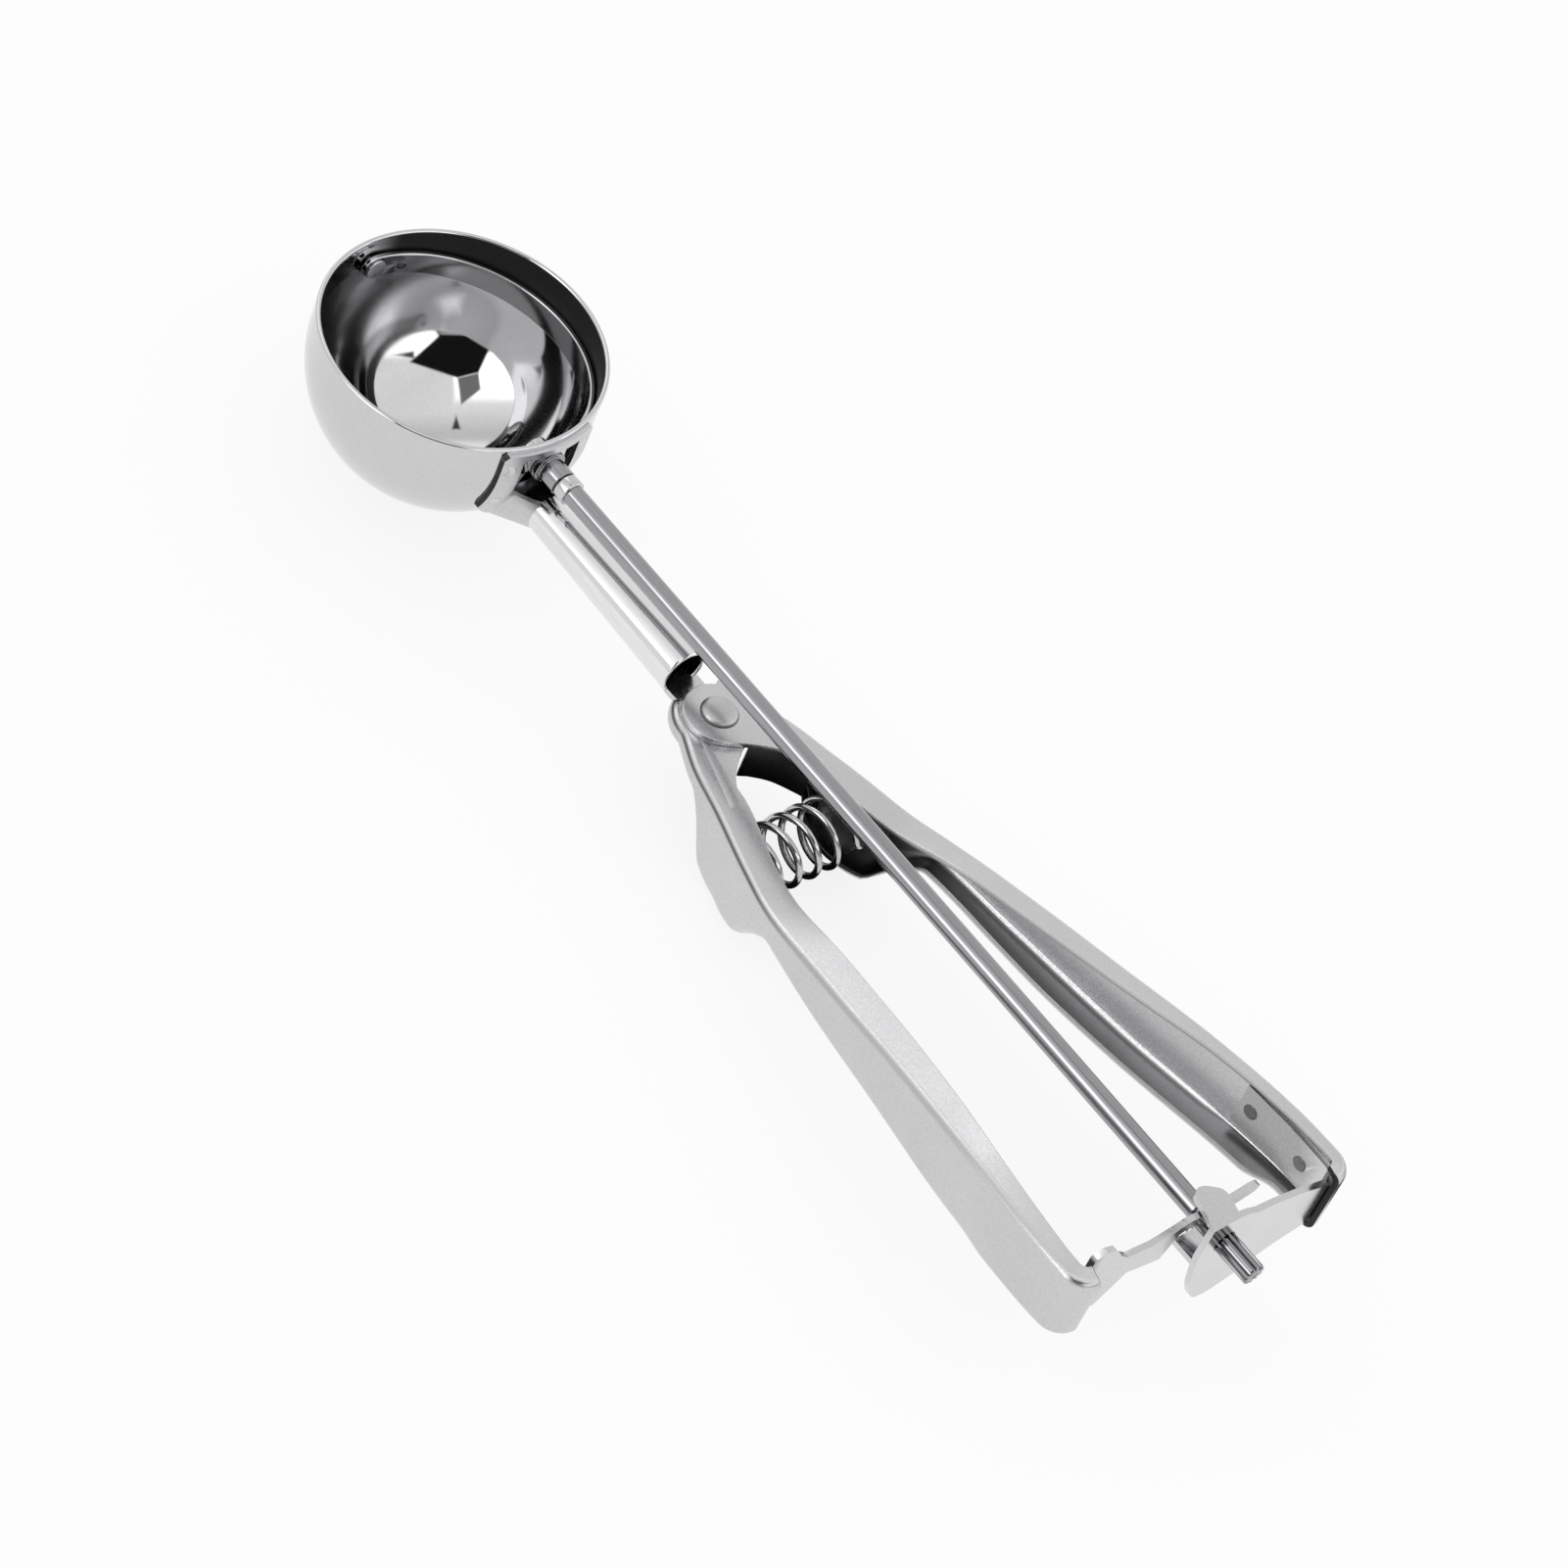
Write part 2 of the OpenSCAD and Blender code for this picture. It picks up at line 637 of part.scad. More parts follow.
// Toothed blade, bent round the pivot so that it slides through the bracket
module rack() {
  outer = rack_radius + sheet / 2;
  near = tab_y - 3;
  bend_x = pivot_distance + sqrt(outer * outer - near * near) - 3;
  low = pitch_radius - addendum;
  high = pitch_radius + dedendum;
  teeth = 8;
  edge = (teeth - 2.5) * tooth_pitch;
  color("silver") placed() mirror([0, 1, 0]) difference() {
    union() {
      tab_bend(tab_from, bend_x, tab_top, tab_bottom);
      intersection() {
        difference() {
          post(pivot_distance, 0, -20, outer, 40);
          post(pivot_distance, 0, -21, outer - sheet, 42);
        }
        translate([bend_x - 8, 0, 0]) rotate([90, 0, 90]) linear_extrude(20) union() {
          polygon([
            [near + 0.1, tab_bottom], [near + 0.1, tab_top], [near - 0.2, tab_top], [near - 0.2, 2.8],
            [19.4, 4], [18, 3.8], [16.4, 1.8], [15, 0.9], [11, 1.5], [7, 3.1], [5.5, rack_top],
            [-6.5, rack_top], [-8, rack_top - 0.4], [-8.8, 2.9], [-8.4, high + 0.1],
            [-2.5 * tooth_pitch, high], [edge, high], [edge + 0.9, low], [7.8, -3.4],
            [13.5, -3.4], [16.6, -9.6], [near - 0.2, -9.6], [near - 0.2, tab_bottom]
          ]);
          for (k = [0:teeth - 1]) {
            translate([(k - 2) * tooth_pitch, 0]) polygon([
              [-0.3, high + 0.1], [-0.3, high], [-0.18, pitch_radius], [-0.1, low],
              [0.1, low], [0.18, pitch_radius], [0.3, high], [0.3, high + 0.1]
            ]);
          }
        }
      }
    }
    web_spots(rack_weld_x, 1);
  }
}

bowl();
front_pin();
scraper_blade();
blade_hub();
spindle_bushing();
spindle_rod();
spindle_collar();
neck_saddle();
saddle_welds();
neck_tube();
fixed_handle();
moving_handle();
pivot_rivet();
fixed_spring_seat();
moving_spring_seat();
return_spring();
guide_bracket();
bracket_welds();
rack_welds();
pinion();
rack();
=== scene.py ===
# %% [markdown]
# # A squeeze-handle ice cream scoop in polished stainless steel
#
# The real tool is a round bowl on a tube, two bent sheet handles on one rivet, and a long spindle above
# them. Squeezing the handles pushes a toothed sheet across the spindle's fluted end, and the spindle
# swings a thin scraper through the bowl. The sizes and the joints come from a imported CAD model. This
# script draws the looks around it, so the first step is to load that model as a fixed frame.

# %% Load the CAD frame
import json
import math

import bmesh
import bpy
import numpy as np
from mathutils import Matrix, Vector

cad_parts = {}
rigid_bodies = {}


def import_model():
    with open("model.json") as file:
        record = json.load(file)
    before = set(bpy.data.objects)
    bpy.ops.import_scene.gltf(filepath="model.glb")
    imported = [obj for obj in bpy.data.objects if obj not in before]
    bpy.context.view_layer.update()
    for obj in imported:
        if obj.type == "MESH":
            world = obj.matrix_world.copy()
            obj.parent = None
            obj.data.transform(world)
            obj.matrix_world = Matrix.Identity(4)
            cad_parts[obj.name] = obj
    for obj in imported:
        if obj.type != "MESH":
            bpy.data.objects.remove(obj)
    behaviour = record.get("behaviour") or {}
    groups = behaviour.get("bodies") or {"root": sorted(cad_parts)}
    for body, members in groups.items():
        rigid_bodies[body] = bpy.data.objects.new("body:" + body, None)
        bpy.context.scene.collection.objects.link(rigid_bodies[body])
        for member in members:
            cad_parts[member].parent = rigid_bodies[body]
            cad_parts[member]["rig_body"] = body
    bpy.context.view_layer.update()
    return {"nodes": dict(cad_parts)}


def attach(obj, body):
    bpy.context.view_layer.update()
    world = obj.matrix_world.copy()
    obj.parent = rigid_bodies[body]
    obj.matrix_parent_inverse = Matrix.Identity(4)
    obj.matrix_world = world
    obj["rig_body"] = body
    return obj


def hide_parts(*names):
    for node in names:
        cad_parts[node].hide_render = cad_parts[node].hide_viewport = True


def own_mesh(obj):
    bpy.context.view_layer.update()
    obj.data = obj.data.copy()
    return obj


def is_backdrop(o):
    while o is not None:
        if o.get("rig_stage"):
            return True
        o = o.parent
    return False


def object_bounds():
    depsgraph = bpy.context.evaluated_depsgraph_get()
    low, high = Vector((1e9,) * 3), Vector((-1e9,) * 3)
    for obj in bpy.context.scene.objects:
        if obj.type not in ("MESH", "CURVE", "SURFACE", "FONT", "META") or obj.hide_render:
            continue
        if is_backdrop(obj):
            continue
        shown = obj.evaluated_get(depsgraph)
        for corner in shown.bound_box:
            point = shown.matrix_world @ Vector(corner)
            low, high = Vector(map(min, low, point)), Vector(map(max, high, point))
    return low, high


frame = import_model()
nodes = frame["nodes"]

# %% [markdown]
# ## Sizes
#
# Every dimension below is in millimetres, in a work frame whose origin is the centre of the bowl's sphere,
# with the spindle along X. That frame is easy to think in, because the bowl, the spindle and the neck are
# all round about simple lines in it. Blender wants metres in the part's own frame, so one small function
# shifts and scales whole arrays of points. Writing the sizes once, by name, keeps each later shape
# readable.

# %% Named sizes in millimetres
BOWL_RADIUS = 22.0
BOWL_WALL = 0.8
RIM_HEIGHT = 4.9
ROD_RADIUS = 1.65
NECK_DROP = 7.4
NECK_START = BOWL_RADIUS + 3.2
NECK_MOUTH = 58.3
PIVOT = 66.5
SHEET = 1.0
RACK_RADIUS = 104.5
PINION_START = PIVOT + RACK_RADIUS - 1.8
PINION_END = PIVOT + RACK_RADIUS + 10.0
FIXED_EAR = -NECK_DROP - SHEET
MOVING_EAR = FIXED_EAR - 0.1 - SHEET
SHIFT = np.array([-79.0, 0.0, 22.0])


def placed(points):
    """Work frame in mm to row frame in metres: add the shift, then divide by a thousand."""
    return (np.asarray(points, float) + SHIFT) / 1000.0


print("bowl centre in the row frame, mm:", placed([0, 0, 0]) * 1000)

# %% [markdown]
# ## Camera
#
# The camera stands where the photographer stood. Its angles were fitted to the bowl's rim, the spindle and
# the handles: it looks down at about 46 degrees, from the bowl's left, and is rolled by 25 degrees so that
# the tool lies across the square picture. A long lens keeps the perspective as flat as in the picture.

# %% Camera at the photograph's angle
AZIMUTH = math.radians(-31.583)
ELEVATION = math.radians(46.298)
ROLL = math.radians(25.052)
IMAGE_SIDE = 1601
FOCAL_PIXELS = 5828.8
CAMERA_PLACE = (0.293587, -0.473837, 0.597092)


def camera_axes(azimuth, elevation, roll):
    """Forward is the view direction, right lies level, up is their cross product; the roll turns both."""
    forward = Vector((math.sin(azimuth) * math.cos(elevation), math.cos(azimuth) * math.cos(elevation),
                      -math.sin(elevation)))
    level = Vector((math.cos(azimuth), -math.sin(azimuth), 0.0))
    above = level.cross(forward)
    right = math.cos(roll) * level + math.sin(roll) * above
    up = -math.sin(roll) * level + math.cos(roll) * above
    return right, up, forward


camera_data = bpy.data.cameras.new("camera")
camera_data.sensor_fit = "HORIZONTAL"
camera_data.sensor_width = 36.0
camera_data.lens = FOCAL_PIXELS / IMAGE_SIDE * camera_data.sensor_width
camera_data.clip_start = 0.01
camera_data.clip_end = 20.0
camera = bpy.data.objects.new("camera", camera_data)
right, up, forward = camera_axes(AZIMUTH, ELEVATION, ROLL)
turn = Matrix((right, up, -forward)).transposed().to_4x4()
camera.matrix_world = Matrix.Translation(CAMERA_PLACE) @ turn
bpy.context.scene.collection.objects.link(camera)
bpy.context.scene.camera = camera
print("lens in mm:", round(camera_data.lens, 2))

# %% [markdown]
# ## Surfaces from arrays
#
# Most pieces here are one grid of points: rows of rings, like the hoops of a barrel. numpy works out all
# the points at once, and a second small formula lists the four corners of every face. Two kinds of end are
# needed: a flat face across the last ring, or a single pole point where a dome closes. Modelling by hand
# in Edit Mode would also work, but a formula is exact, repeatable and easy to change.

# %% Helpers that turn grids into closed meshes


def grid_quads(rows, cols, loop):
    """Corners of every face of a grid whose columns wrap round: (i, j), (i, j+1), (i+1, j+1), (i+1, j).
    With loop, the last row joins the first as well."""
    i, j = np.meshgrid(np.arange(rows if loop else rows - 1), np.arange(cols), indexing="ij")
    below, k = (i + 1) % rows, (j + 1) % cols
    return np.stack([i * cols + j, i * cols + k, below * cols + k, below * cols + j], -1).reshape(-1, 4)


def volume_of(points, faces):
    """Signed volume by the divergence rule: a sixth of the sum of a . (b x c) over fan triangles."""
    total = 0.0
    for size in sorted({len(f) for f in faces}):
        f = np.array([f for f in faces if len(f) == size])
        a = points[f[:, 0]]
        for k in range(1, size - 1):
            total += np.einsum("ij,ij->i", a, np.cross(points[f[:, k]], points[f[:, k + 1]])).sum()
    return total / 6.0


def ringed(rings, start="flat", end="flat", loop=False):
    """Points and faces of a closed skin over rings (rows, cols, 3). Each end is "flat" or a pole point;
    with loop there are no ends."""
    rows, cols = rings.shape[:2]
    points = rings.reshape(-1, 3)
    faces = grid_quads(rows, cols, loop).tolist()
    for way, base in () if loop else ((start, 0), (end, (rows - 1) * cols)):
        ring = np.arange(cols) + base
        if isinstance(way, str):
            faces.append(ring[::-1].tolist() if base == 0 else ring.tolist())
            continue
        pole = len(points)
        points = np.vstack([points, np.asarray(way, float)[None]])
        fan = np.stack([ring, np.full(cols, pole), np.roll(ring, -1)], -1)
        faces += (fan if base == 0 else fan[:, ::-1]).tolist()
    return points, faces


def joined(*parts):
    """Several (points, faces) pairs as one, each turned so that its faces point outwards."""
    all_points, all_faces, base = [], [], 0
    for points, faces in parts:
        if volume_of(points, faces) < 0:
            faces = [f[::-1] for f in faces]
        all_points.append(points)
        all_faces += [[v + base for v in f] for f in faces]
        base += len(points)
    return np.vstack(all_points), all_faces


def object_of(mesh, *materials):
    """Puts a mesh into the scene, as an object of the same name at the origin, with its materials."""
    for material in materials:
        mesh.materials.append(material)
    obj = bpy.data.objects.new(mesh.name, mesh)
    bpy.context.scene.collection.objects.link(obj)
    return obj


def piece(name, parts, body, material, stands_for=(), sharp=35.0):
    """Makes one object at the origin from (points in mm, faces) parts, and tells the frame what it is."""
    points, faces = joined(*parts)
    mesh = bpy.data.meshes.new(name)
    mesh.from_pydata(placed(points).tolist(), [], faces)
    mesh.validate()
    mesh.shade_smooth()
    mesh.set_sharp_from_angle(angle=math.radians(sharp))
    obj = object_of(mesh, material)
    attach(obj, body)
    if stands_for:
        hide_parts(*stands_for)
    triangles = sum(len(f) - 2 for f in faces)
    print(f"{name}: {len(points)} points, {triangles} triangles, {volume_of(points, faces):.0f} mm3")
    return obj


def turned(profile, axis, steps, centre=(0.0, 0.0, 0.0)):
    """A profile of (radius, height) rows turned about x or z: point = centre + r (cos a, sin a) + h."""
    profile = np.asarray(profile, float)
    angle = np.linspace(0.0, 2.0 * np.pi, steps, endpoint=False)
    r, h = profile[:, :1], np.repeat(profile[:, 1:2], steps, 1)
    u, v = r * np.cos(angle), r * np.sin(angle)
    return np.stack((h, u, v) if axis == "x" else (u, v, h), -1) + np.asarray(centre, float)


def arc(cx, cy, radius, first, last, count):
    """Points on a circle from one angle to another, in degrees: (cx + r cos a, cy + r sin a)."""
    angle = np.radians(np.linspace(first, last, count))
    return np.stack([cx + radius * np.cos(angle), cy + radius * np.sin(angle)], -1)


ball = ringed(turned(arc(0, 0, 10, -85, 85, 35), "z", 90), start=(0, 0, -10), end=(0, 0, 10))
print(f"a test ball of radius 10 measures {volume_of(*ball):.0f}, a true one {4000 * math.pi / 3:.0f}")

# %% [markdown]
# ## Steel
#
# Everything is stainless steel, and steel in a picture is mostly its reflections. What tells one finish
# from another is how sharp those reflections are: a mirror-polished bowl, drawn rod with lines along it,
# tumbled sheet with a fine speckle. So each finish below is the same metal with its own roughness, its own
# tiny bumps and its own faint stain, all made with noise in Object coordinates, which stay with the piece
# when it moves.

# %% One recipe for every steel finish


def add_node(tree, kind, links=None, **values):
    """Adds a shader node, sets its properties by name and its sockets by label, then links other nodes'
    outputs to its inputs: links = {input: output}."""
    node = tree.nodes.new(kind)
    node.location = (180.0 * len(tree.nodes), 0.0)
    for key, value in values.items():
        if hasattr(node, key):
            setattr(node, key, value)
        else:
            node.inputs[key.replace("_", " ")].default_value = value
    for socket, source in (links or {}).items():
        tree.links.new(source, node.inputs[socket])
    return node


def maths(tree, operation, a, b, kind="ShaderNodeMath", output="Value"):
    """Maths or vector maths on two values, each the output of a node or a constant."""
    node = add_node(tree, kind, operation=operation)
    for k, value in enumerate((a, b)):
        if isinstance(value, bpy.types.NodeSocket):
            tree.links.new(value, node.inputs[k])
        else:
            node.inputs[k].default_value = value
    return node.outputs[output]


def map_range(tree, source, low, high, new_low, new_high):
    """Straight-line rescale of a grey value from (low, high) to (new_low, new_high), clamped."""
    node = add_node(tree, "ShaderNodeMapRange", {"Value": source}, From_Min=low, From_Max=high,
                    To_Min=new_low, To_Max=new_high)
    return node.outputs["Result"]


def noise(tree, place, **values):
    """A soft noise over a place, from 0 to 1."""
    return add_node(tree, "ShaderNodeTexNoise", {"Vector": place}, **values).outputs["Fac"]


def steel(name, tone, dark_tone, rough, speckle, speckle_depth, stretch=(1.0, 1.0, 1.0),
          wave=0.0, stain=0.25, painted_shade=None):
    """A metal whose colour runs between two greys with a slow stain, and whose roughness and height follow
    a fine noise. speckle is how many grains fit in a millimetre, stretch draws them out along an axis.
    The last argument = (dimming, added roughness) holds where the mesh's shade number is 1, and fades with
    it: colour * (1 + (dimming - 1) shade) is painted shade, and roughness + added * shade."""
    material = bpy.data.materials.new(name)
    material.use_nodes = True
    tree = material.node_tree
    place = add_node(tree, "ShaderNodeTexCoord").outputs["Object"]
    scaled = add_node(tree, "ShaderNodeMapping", {"Vector": place}, Scale=stretch).outputs["Vector"]
    fine = noise(tree, scaled, Scale=1000.0 * speckle, Detail=3.0, Roughness=0.6)
    slow = noise(tree, place, Scale=70.0, Detail=4.0, Roughness=0.55)
    # colour: slow stain plus a little of the fine grain
    mixed = maths(tree, "ADD", map_range(tree, slow, 0.35, 0.65, 0.0, stain),
                  map_range(tree, fine, 0.3, 0.7, 0.0, 1.0 - stain))
    ramp = add_node(tree, "ShaderNodeValToRGB", {"Fac": mixed})
    ramp.color_ramp.elements[0].color = (*dark_tone, 1.0)
    ramp.color_ramp.elements[1].color = (*tone, 1.0)
    colour = ramp.outputs["Color"]
    roughness = map_range(tree, mixed, 0.2, 0.8, rough[1], rough[0])
    # painted shade: where the mesh's shade number is set, the colour is dimmed and the roughness raised
    if painted_shade:
        shade = add_node(tree, "ShaderNodeAttribute", attribute_name="painted_shade").outputs["Fac"]
        dim = map_range(tree, shade, 0.0, 1.0, 1.0, painted_shade[0])
        dimmed = add_node(tree, "ShaderNodeVectorMath", {0: colour, "Scale": dim}, operation="SCALE")
        colour = dimmed.outputs["Vector"]
        roughness = maths(tree, "ADD", roughness, map_range(tree, shade, 0.0, 1.0, 0.0, painted_shade[1]))
    # height: fine grain, then a long wave such as rolled or pressed sheet keeps
    bump = add_node(tree, "ShaderNodeBump", {"Height": fine}, Strength=1.0, Distance=speckle_depth / 1000.0)
    if wave > 0.0:
        swell = noise(tree, place, Scale=120.0, Detail=1.0)
        bump = add_node(tree, "ShaderNodeBump", {"Height": swell, "Normal": bump.outputs["Normal"]},
                        Strength=1.0, Distance=wave / 1000.0)
    shader = tree.nodes["Principled BSDF"]
    shader.inputs["Metallic"].default_value = 1.0
    tree.links.new(colour, shader.inputs["Base Color"])
    tree.links.new(roughness, shader.inputs["Roughness"])
    tree.links.new(bump.outputs["Normal"], shader.inputs["Normal"])
    return material


def cool(grey):
    """Steel's grey is a touch bluer than neutral: (g, g, g + 0.01)."""
    return grey, grey, grey + 0.01


MIRROR = (cool(0.62), cool(0.58), (0.03, 0.055), 1.5, 0.0)
mirror_steel = steel("mirror polished steel", *MIRROR, wave=0.004, painted_shade=(0.08, 0.12))
print("the mirror finish is made of", len(mirror_steel.node_tree.nodes), "shader nodes")

# %% [markdown]
# ### The finishes of this tool
#
# Each line below is one finish: its light and dark greys, the range of its roughness, how fine its grain
# is and how deep. The bowl is a mirror, like the scraper. The neck and the rod look drawn, so their grain
# is stretched along X. The handles look tumbled and the plates stamped, and the welds look left as they
# came. The sheared edges of the saddle are near black. A ready-made metal material would give them all the
# same gleam.

# %% All the finishes
ALONG_TUBE, ALONG_ROD = (0.08, 1.0, 1.0), (0.04, 1.0, 1.0)
# painted shade for the channels and the rivet's rim: colour dimmed to 0.06, roughness raised by 0.1
CHANNEL_PAINTED_SHADE = (0.06, 0.1)
NEAR_BLACK, NEARER_BLACK = (0.06, 0.06, 0.06), (0.03, 0.03, 0.03)
bowl_steel = steel("mirror polished bowl steel", *MIRROR, wave=0.004, painted_shade=(0.07, 0.5))
cup_steel = steel("polished cup steel", cool(0.64), cool(0.58), (0.3, 0.36), 1.5, 0.0, wave=0.004)
tube_steel = steel("drawn tube steel", cool(0.82), cool(0.74), (0.05, 0.08), 3.0, 0.0003, ALONG_TUBE, 0.006)
rod_steel = steel("drawn rod steel", cool(0.38), cool(0.31), (0.1, 0.18), 5.0, 0.002, ALONG_ROD)
handle_steel = steel("tumbled sheet steel", cool(0.65), cool(0.56), (0.24, 0.34), 3.0, 0.003, wave=0.015,
                     painted_shade=CHANNEL_PAINTED_SHADE)
rivet_steel = steel("hammered rivet steel", cool(0.58), cool(0.5), (0.4, 0.48), 3.0, 0.002,
                    painted_shade=CHANNEL_PAINTED_SHADE)
# the plates' shade number paints the channels' shade on the tabs: colour dimmed to 0.66, roughness raised by
# 0.1
plate_steel = steel("stamped sheet steel", cool(0.67), cool(0.58), (0.14, 0.24), 3.0, 0.003,
                    painted_shade=(0.66, 0.1))
dull_steel = steel("turned steel, undressed", cool(0.5), cool(0.3), (0.25, 0.4), 4.0, 0.005)
weld_steel = steel("spot weld scale", (0.26, 0.26, 0.26), cool(0.08), (0.3, 0.5), 4.0, 0.008, stain=0.5)
black_edge = steel("sheared edge", NEAR_BLACK, NEARER_BLACK, (0.4, 0.6), 3.0, 0.003)
wire_steel = steel("spring wire", cool(0.66), cool(0.42), (0.1, 0.2), 5.0, 0.002)
print("finishes:", sorted(m.name for m in bpy.data.materials))

# %% [markdown]
# ## Bowl
#
# The real bowl is pressed from one sheet: half a sphere, a short straight band, and a lip that is rounded
# by polishing. Its outline, cut through the middle, is one line from the bottom outside, up, over the lip,
# and back down inside. Turning that line about the upright axis gives both walls in one skin with no seam.

# %% Bowl turned from its outline
STEPS_ROUND = 180
outside = arc(0, 0, BOWL_RADIUS, -89.0, 0.0, 60)
inside = arc(0, 0, BOWL_RADIUS - BOWL_WALL, 0.0, -89.0, 60)
lip = arc(BOWL_RADIUS - BOWL_WALL / 2, RIM_HEIGHT - BOWL_WALL / 2, BOWL_WALL / 2, 0.0, 180.0, 13)
band = np.linspace(0.4, RIM_HEIGHT - BOWL_WALL / 2 - 0.3, 5)
outline = np.vstack([
    outside,
    np.stack([np.full(5, BOWL_RADIUS), band], -1),
    lip,
    np.stack([np.full(5, BOWL_RADIUS - BOWL_WALL), band[::-1]], -1),
    inside,
])
bowl_rings = turned(outline, "z", STEPS_ROUND)
bowl_skin = ringed(bowl_rings, start=(0, 0, -BOWL_RADIUS), end=(0, 0, BOWL_WALL - BOWL_RADIUS))
bowl = piece("bowl_shell", [bowl_skin], "frame", bowl_steel, stands_for=["bowl"])

# %% [markdown]
# ### The painted dark band in the bowl
#
# Above the scraper, on the far side, the bowl's inside reads nearly black in the picture, and here that
# darkness is painted shade. A painted picture on the mesh would do it, but a single number per point is
# simpler. The steel recipe dims its colour and roughens its shine where that number is above nothing.

# %% A number per point, read by the finish


def work_places(obj):
    """All of a mesh's points in the work frame, in mm, as an array (points, 3)."""
    places = np.empty(3 * len(obj.data.vertices), np.float32)
    obj.data.vertices.foreach_get("co", places)
    return places.reshape(-1, 3) * 1000.0 - SHIFT


def set_shade(obj, values):
    """Stores one number per point in the mesh's shade attribute; the steel recipe paints shade with it,
    darker and rougher.
    """
    layer = obj.data.attributes.new("painted_shade", "FLOAT", "POINT")
    layer.data.foreach_set("value", np.asarray(values, np.float32))
    print(f"{obj.name}: {int((np.asarray(values) > 0).sum())} of {len(values)} points are shaded")


# painted shade: the band runs up to the lip from the height below, fading in over 6 mm from the middle to
# the far side; the front wall below it, where the pin is, gets some painted shade and a little more roughness
SHADE_FROM = -0.4
FRONT_SHADE = 0.3
FADE_LENGTH = 6.0
in_band = (outline[:, 0] < BOWL_RADIUS - BOWL_WALL + 0.05) & (outline[:, 1] > SHADE_FROM)
below_band = np.arange(len(outline)) > len(outline) - len(inside) + 1
far_side = np.clip((bowl_rings[..., 1] + 2.0) / FADE_LENGTH, 0.0, 1.0)
front_wall = np.clip((-bowl_rings[..., 0] - 13.0) / FADE_LENGTH, 0.0, 1.0) * below_band[:, None]
bowl_shade = np.maximum(in_band[:, None] * far_side, FRONT_SHADE * front_wall)
set_shade(bowl, np.concatenate([bowl_shade.ravel(), [0.0, 0.0]]))

# %% [markdown]
# ## Scraper
#
# The scraper is a thin strip bent to the inside of the bowl, with a round pad on each end: one on the
# spindle, one on the front pin. It is modelled on the sphere itself. Along the strip runs an angle, across
# it a small second angle, and the half width closes to nothing along a half circle at both pads.

# %% Scraper strip on a sphere
BLADE_OUTER = BOWL_RADIUS - BOWL_WALL - 0.25
BLADE_THICK = 0.8
BLADE_HALF = 2.0
BLADE_EDGE = 0.22
BLADE_REST = math.radians(-6.0)
DIMPLE_FROM_END, DIMPLE_DEPTH, DIMPLE_RADIUS = 4.6, 0.22, 0.75


def quarter_round(edge, count):
    """A rounded rim in steps from t = 0 to 90 degrees: it is drawn in by edge (1 - sin t), and it lies
    deeper by edge (1 - cos t)."""
    t = np.linspace(0.0, 0.5 * np.pi, count)
    return edge * (1 - np.sin(t)), edge * (1 - np.cos(t))


def strip_sections(length, half, count):
    """Distances along a strip with half-round ends, and its half width: h cos t, h sin t past the ends."""
    t = np.linspace(0.5 * np.pi, 0.02, 14)
    first, first_half = -half * np.sin(t), half * np.cos(t)
    middle = np.linspace(0.0, length, count)
    along_it = np.concatenate([first, middle, length - first[::-1]])
    width = np.concatenate([first_half, np.full(count, half), first_half[::-1]])
    return along_it, np.maximum(width, 0.03)


def scraper_rings():
    """Each ring runs round the strip's cross section, a rounded oblong, laid on the sphere by two angles:
    p = r (cos a cos b, sin a cos b, sin b), with a along the strip and b = across / r."""
    distance, half = strip_sections(np.pi * BLADE_OUTER, BLADE_HALF, 90)
    inset, depth = quarter_round(BLADE_EDGE, 5)
    # one lap: outer face, rounded edge, inner face, rounded edge
    side = np.concatenate([np.linspace(-1, 1, 15), np.ones(10), np.linspace(1, -1, 15), -np.ones(10)])
    pull = np.tile(np.concatenate([np.full(15, BLADE_EDGE), inset, inset[::-1]]), 2)
    drop = np.concatenate([np.zeros(15), depth, BLADE_THICK - depth[::-1], np.full(15, BLADE_THICK),
                           BLADE_THICK - depth, depth[::-1]])
    across = side[None, :] * np.maximum(half[:, None] - pull[None, :], 0.0)
    # a shallow dimple near the front end, where the strip was pressed for its pin
    near = np.hypot(distance[:, None] - (np.pi * BLADE_OUTER - DIMPLE_FROM_END), across)
    radius = BLADE_OUTER - drop[None, :] + DIMPLE_DEPTH * np.exp(-((near / DIMPLE_RADIUS) ** 2))
    a, b = distance[:, None] / BLADE_OUTER, across / BLADE_OUTER
    x, y, z = radius * np.cos(a) * np.cos(b), radius * np.sin(a) * np.cos(b), radius * np.sin(b)
    c, s = math.cos(BLADE_REST), math.sin(BLADE_REST)
    return np.stack([x, c * y - s * z, s * y + c * z], -1)


scraper = piece("scraper_strip", [ringed(scraper_rings())], "spindle", mirror_steel,
                stands_for=["scraper_blade"])
# a lap has 50 points: only the inner face, points 25 to 39, gets painted shade and a little more roughness
lap_place = np.arange(len(scraper.data.vertices)) % 50
set_shade(scraper, 0.62 * ((lap_place >= 25) & (lap_place < 40)))

# %% [markdown]
# ## Spindle
#
# The spindle is a long drawn rod. Its front end steps down into the hub of the scraper, and its rear end
# carries the pinion. A turned profile with small chamfers makes it. The pinion's flutes are a ring whose
# radius swings ten times per turn, clipped at the top and the bottom so that the teeth get flat crests.

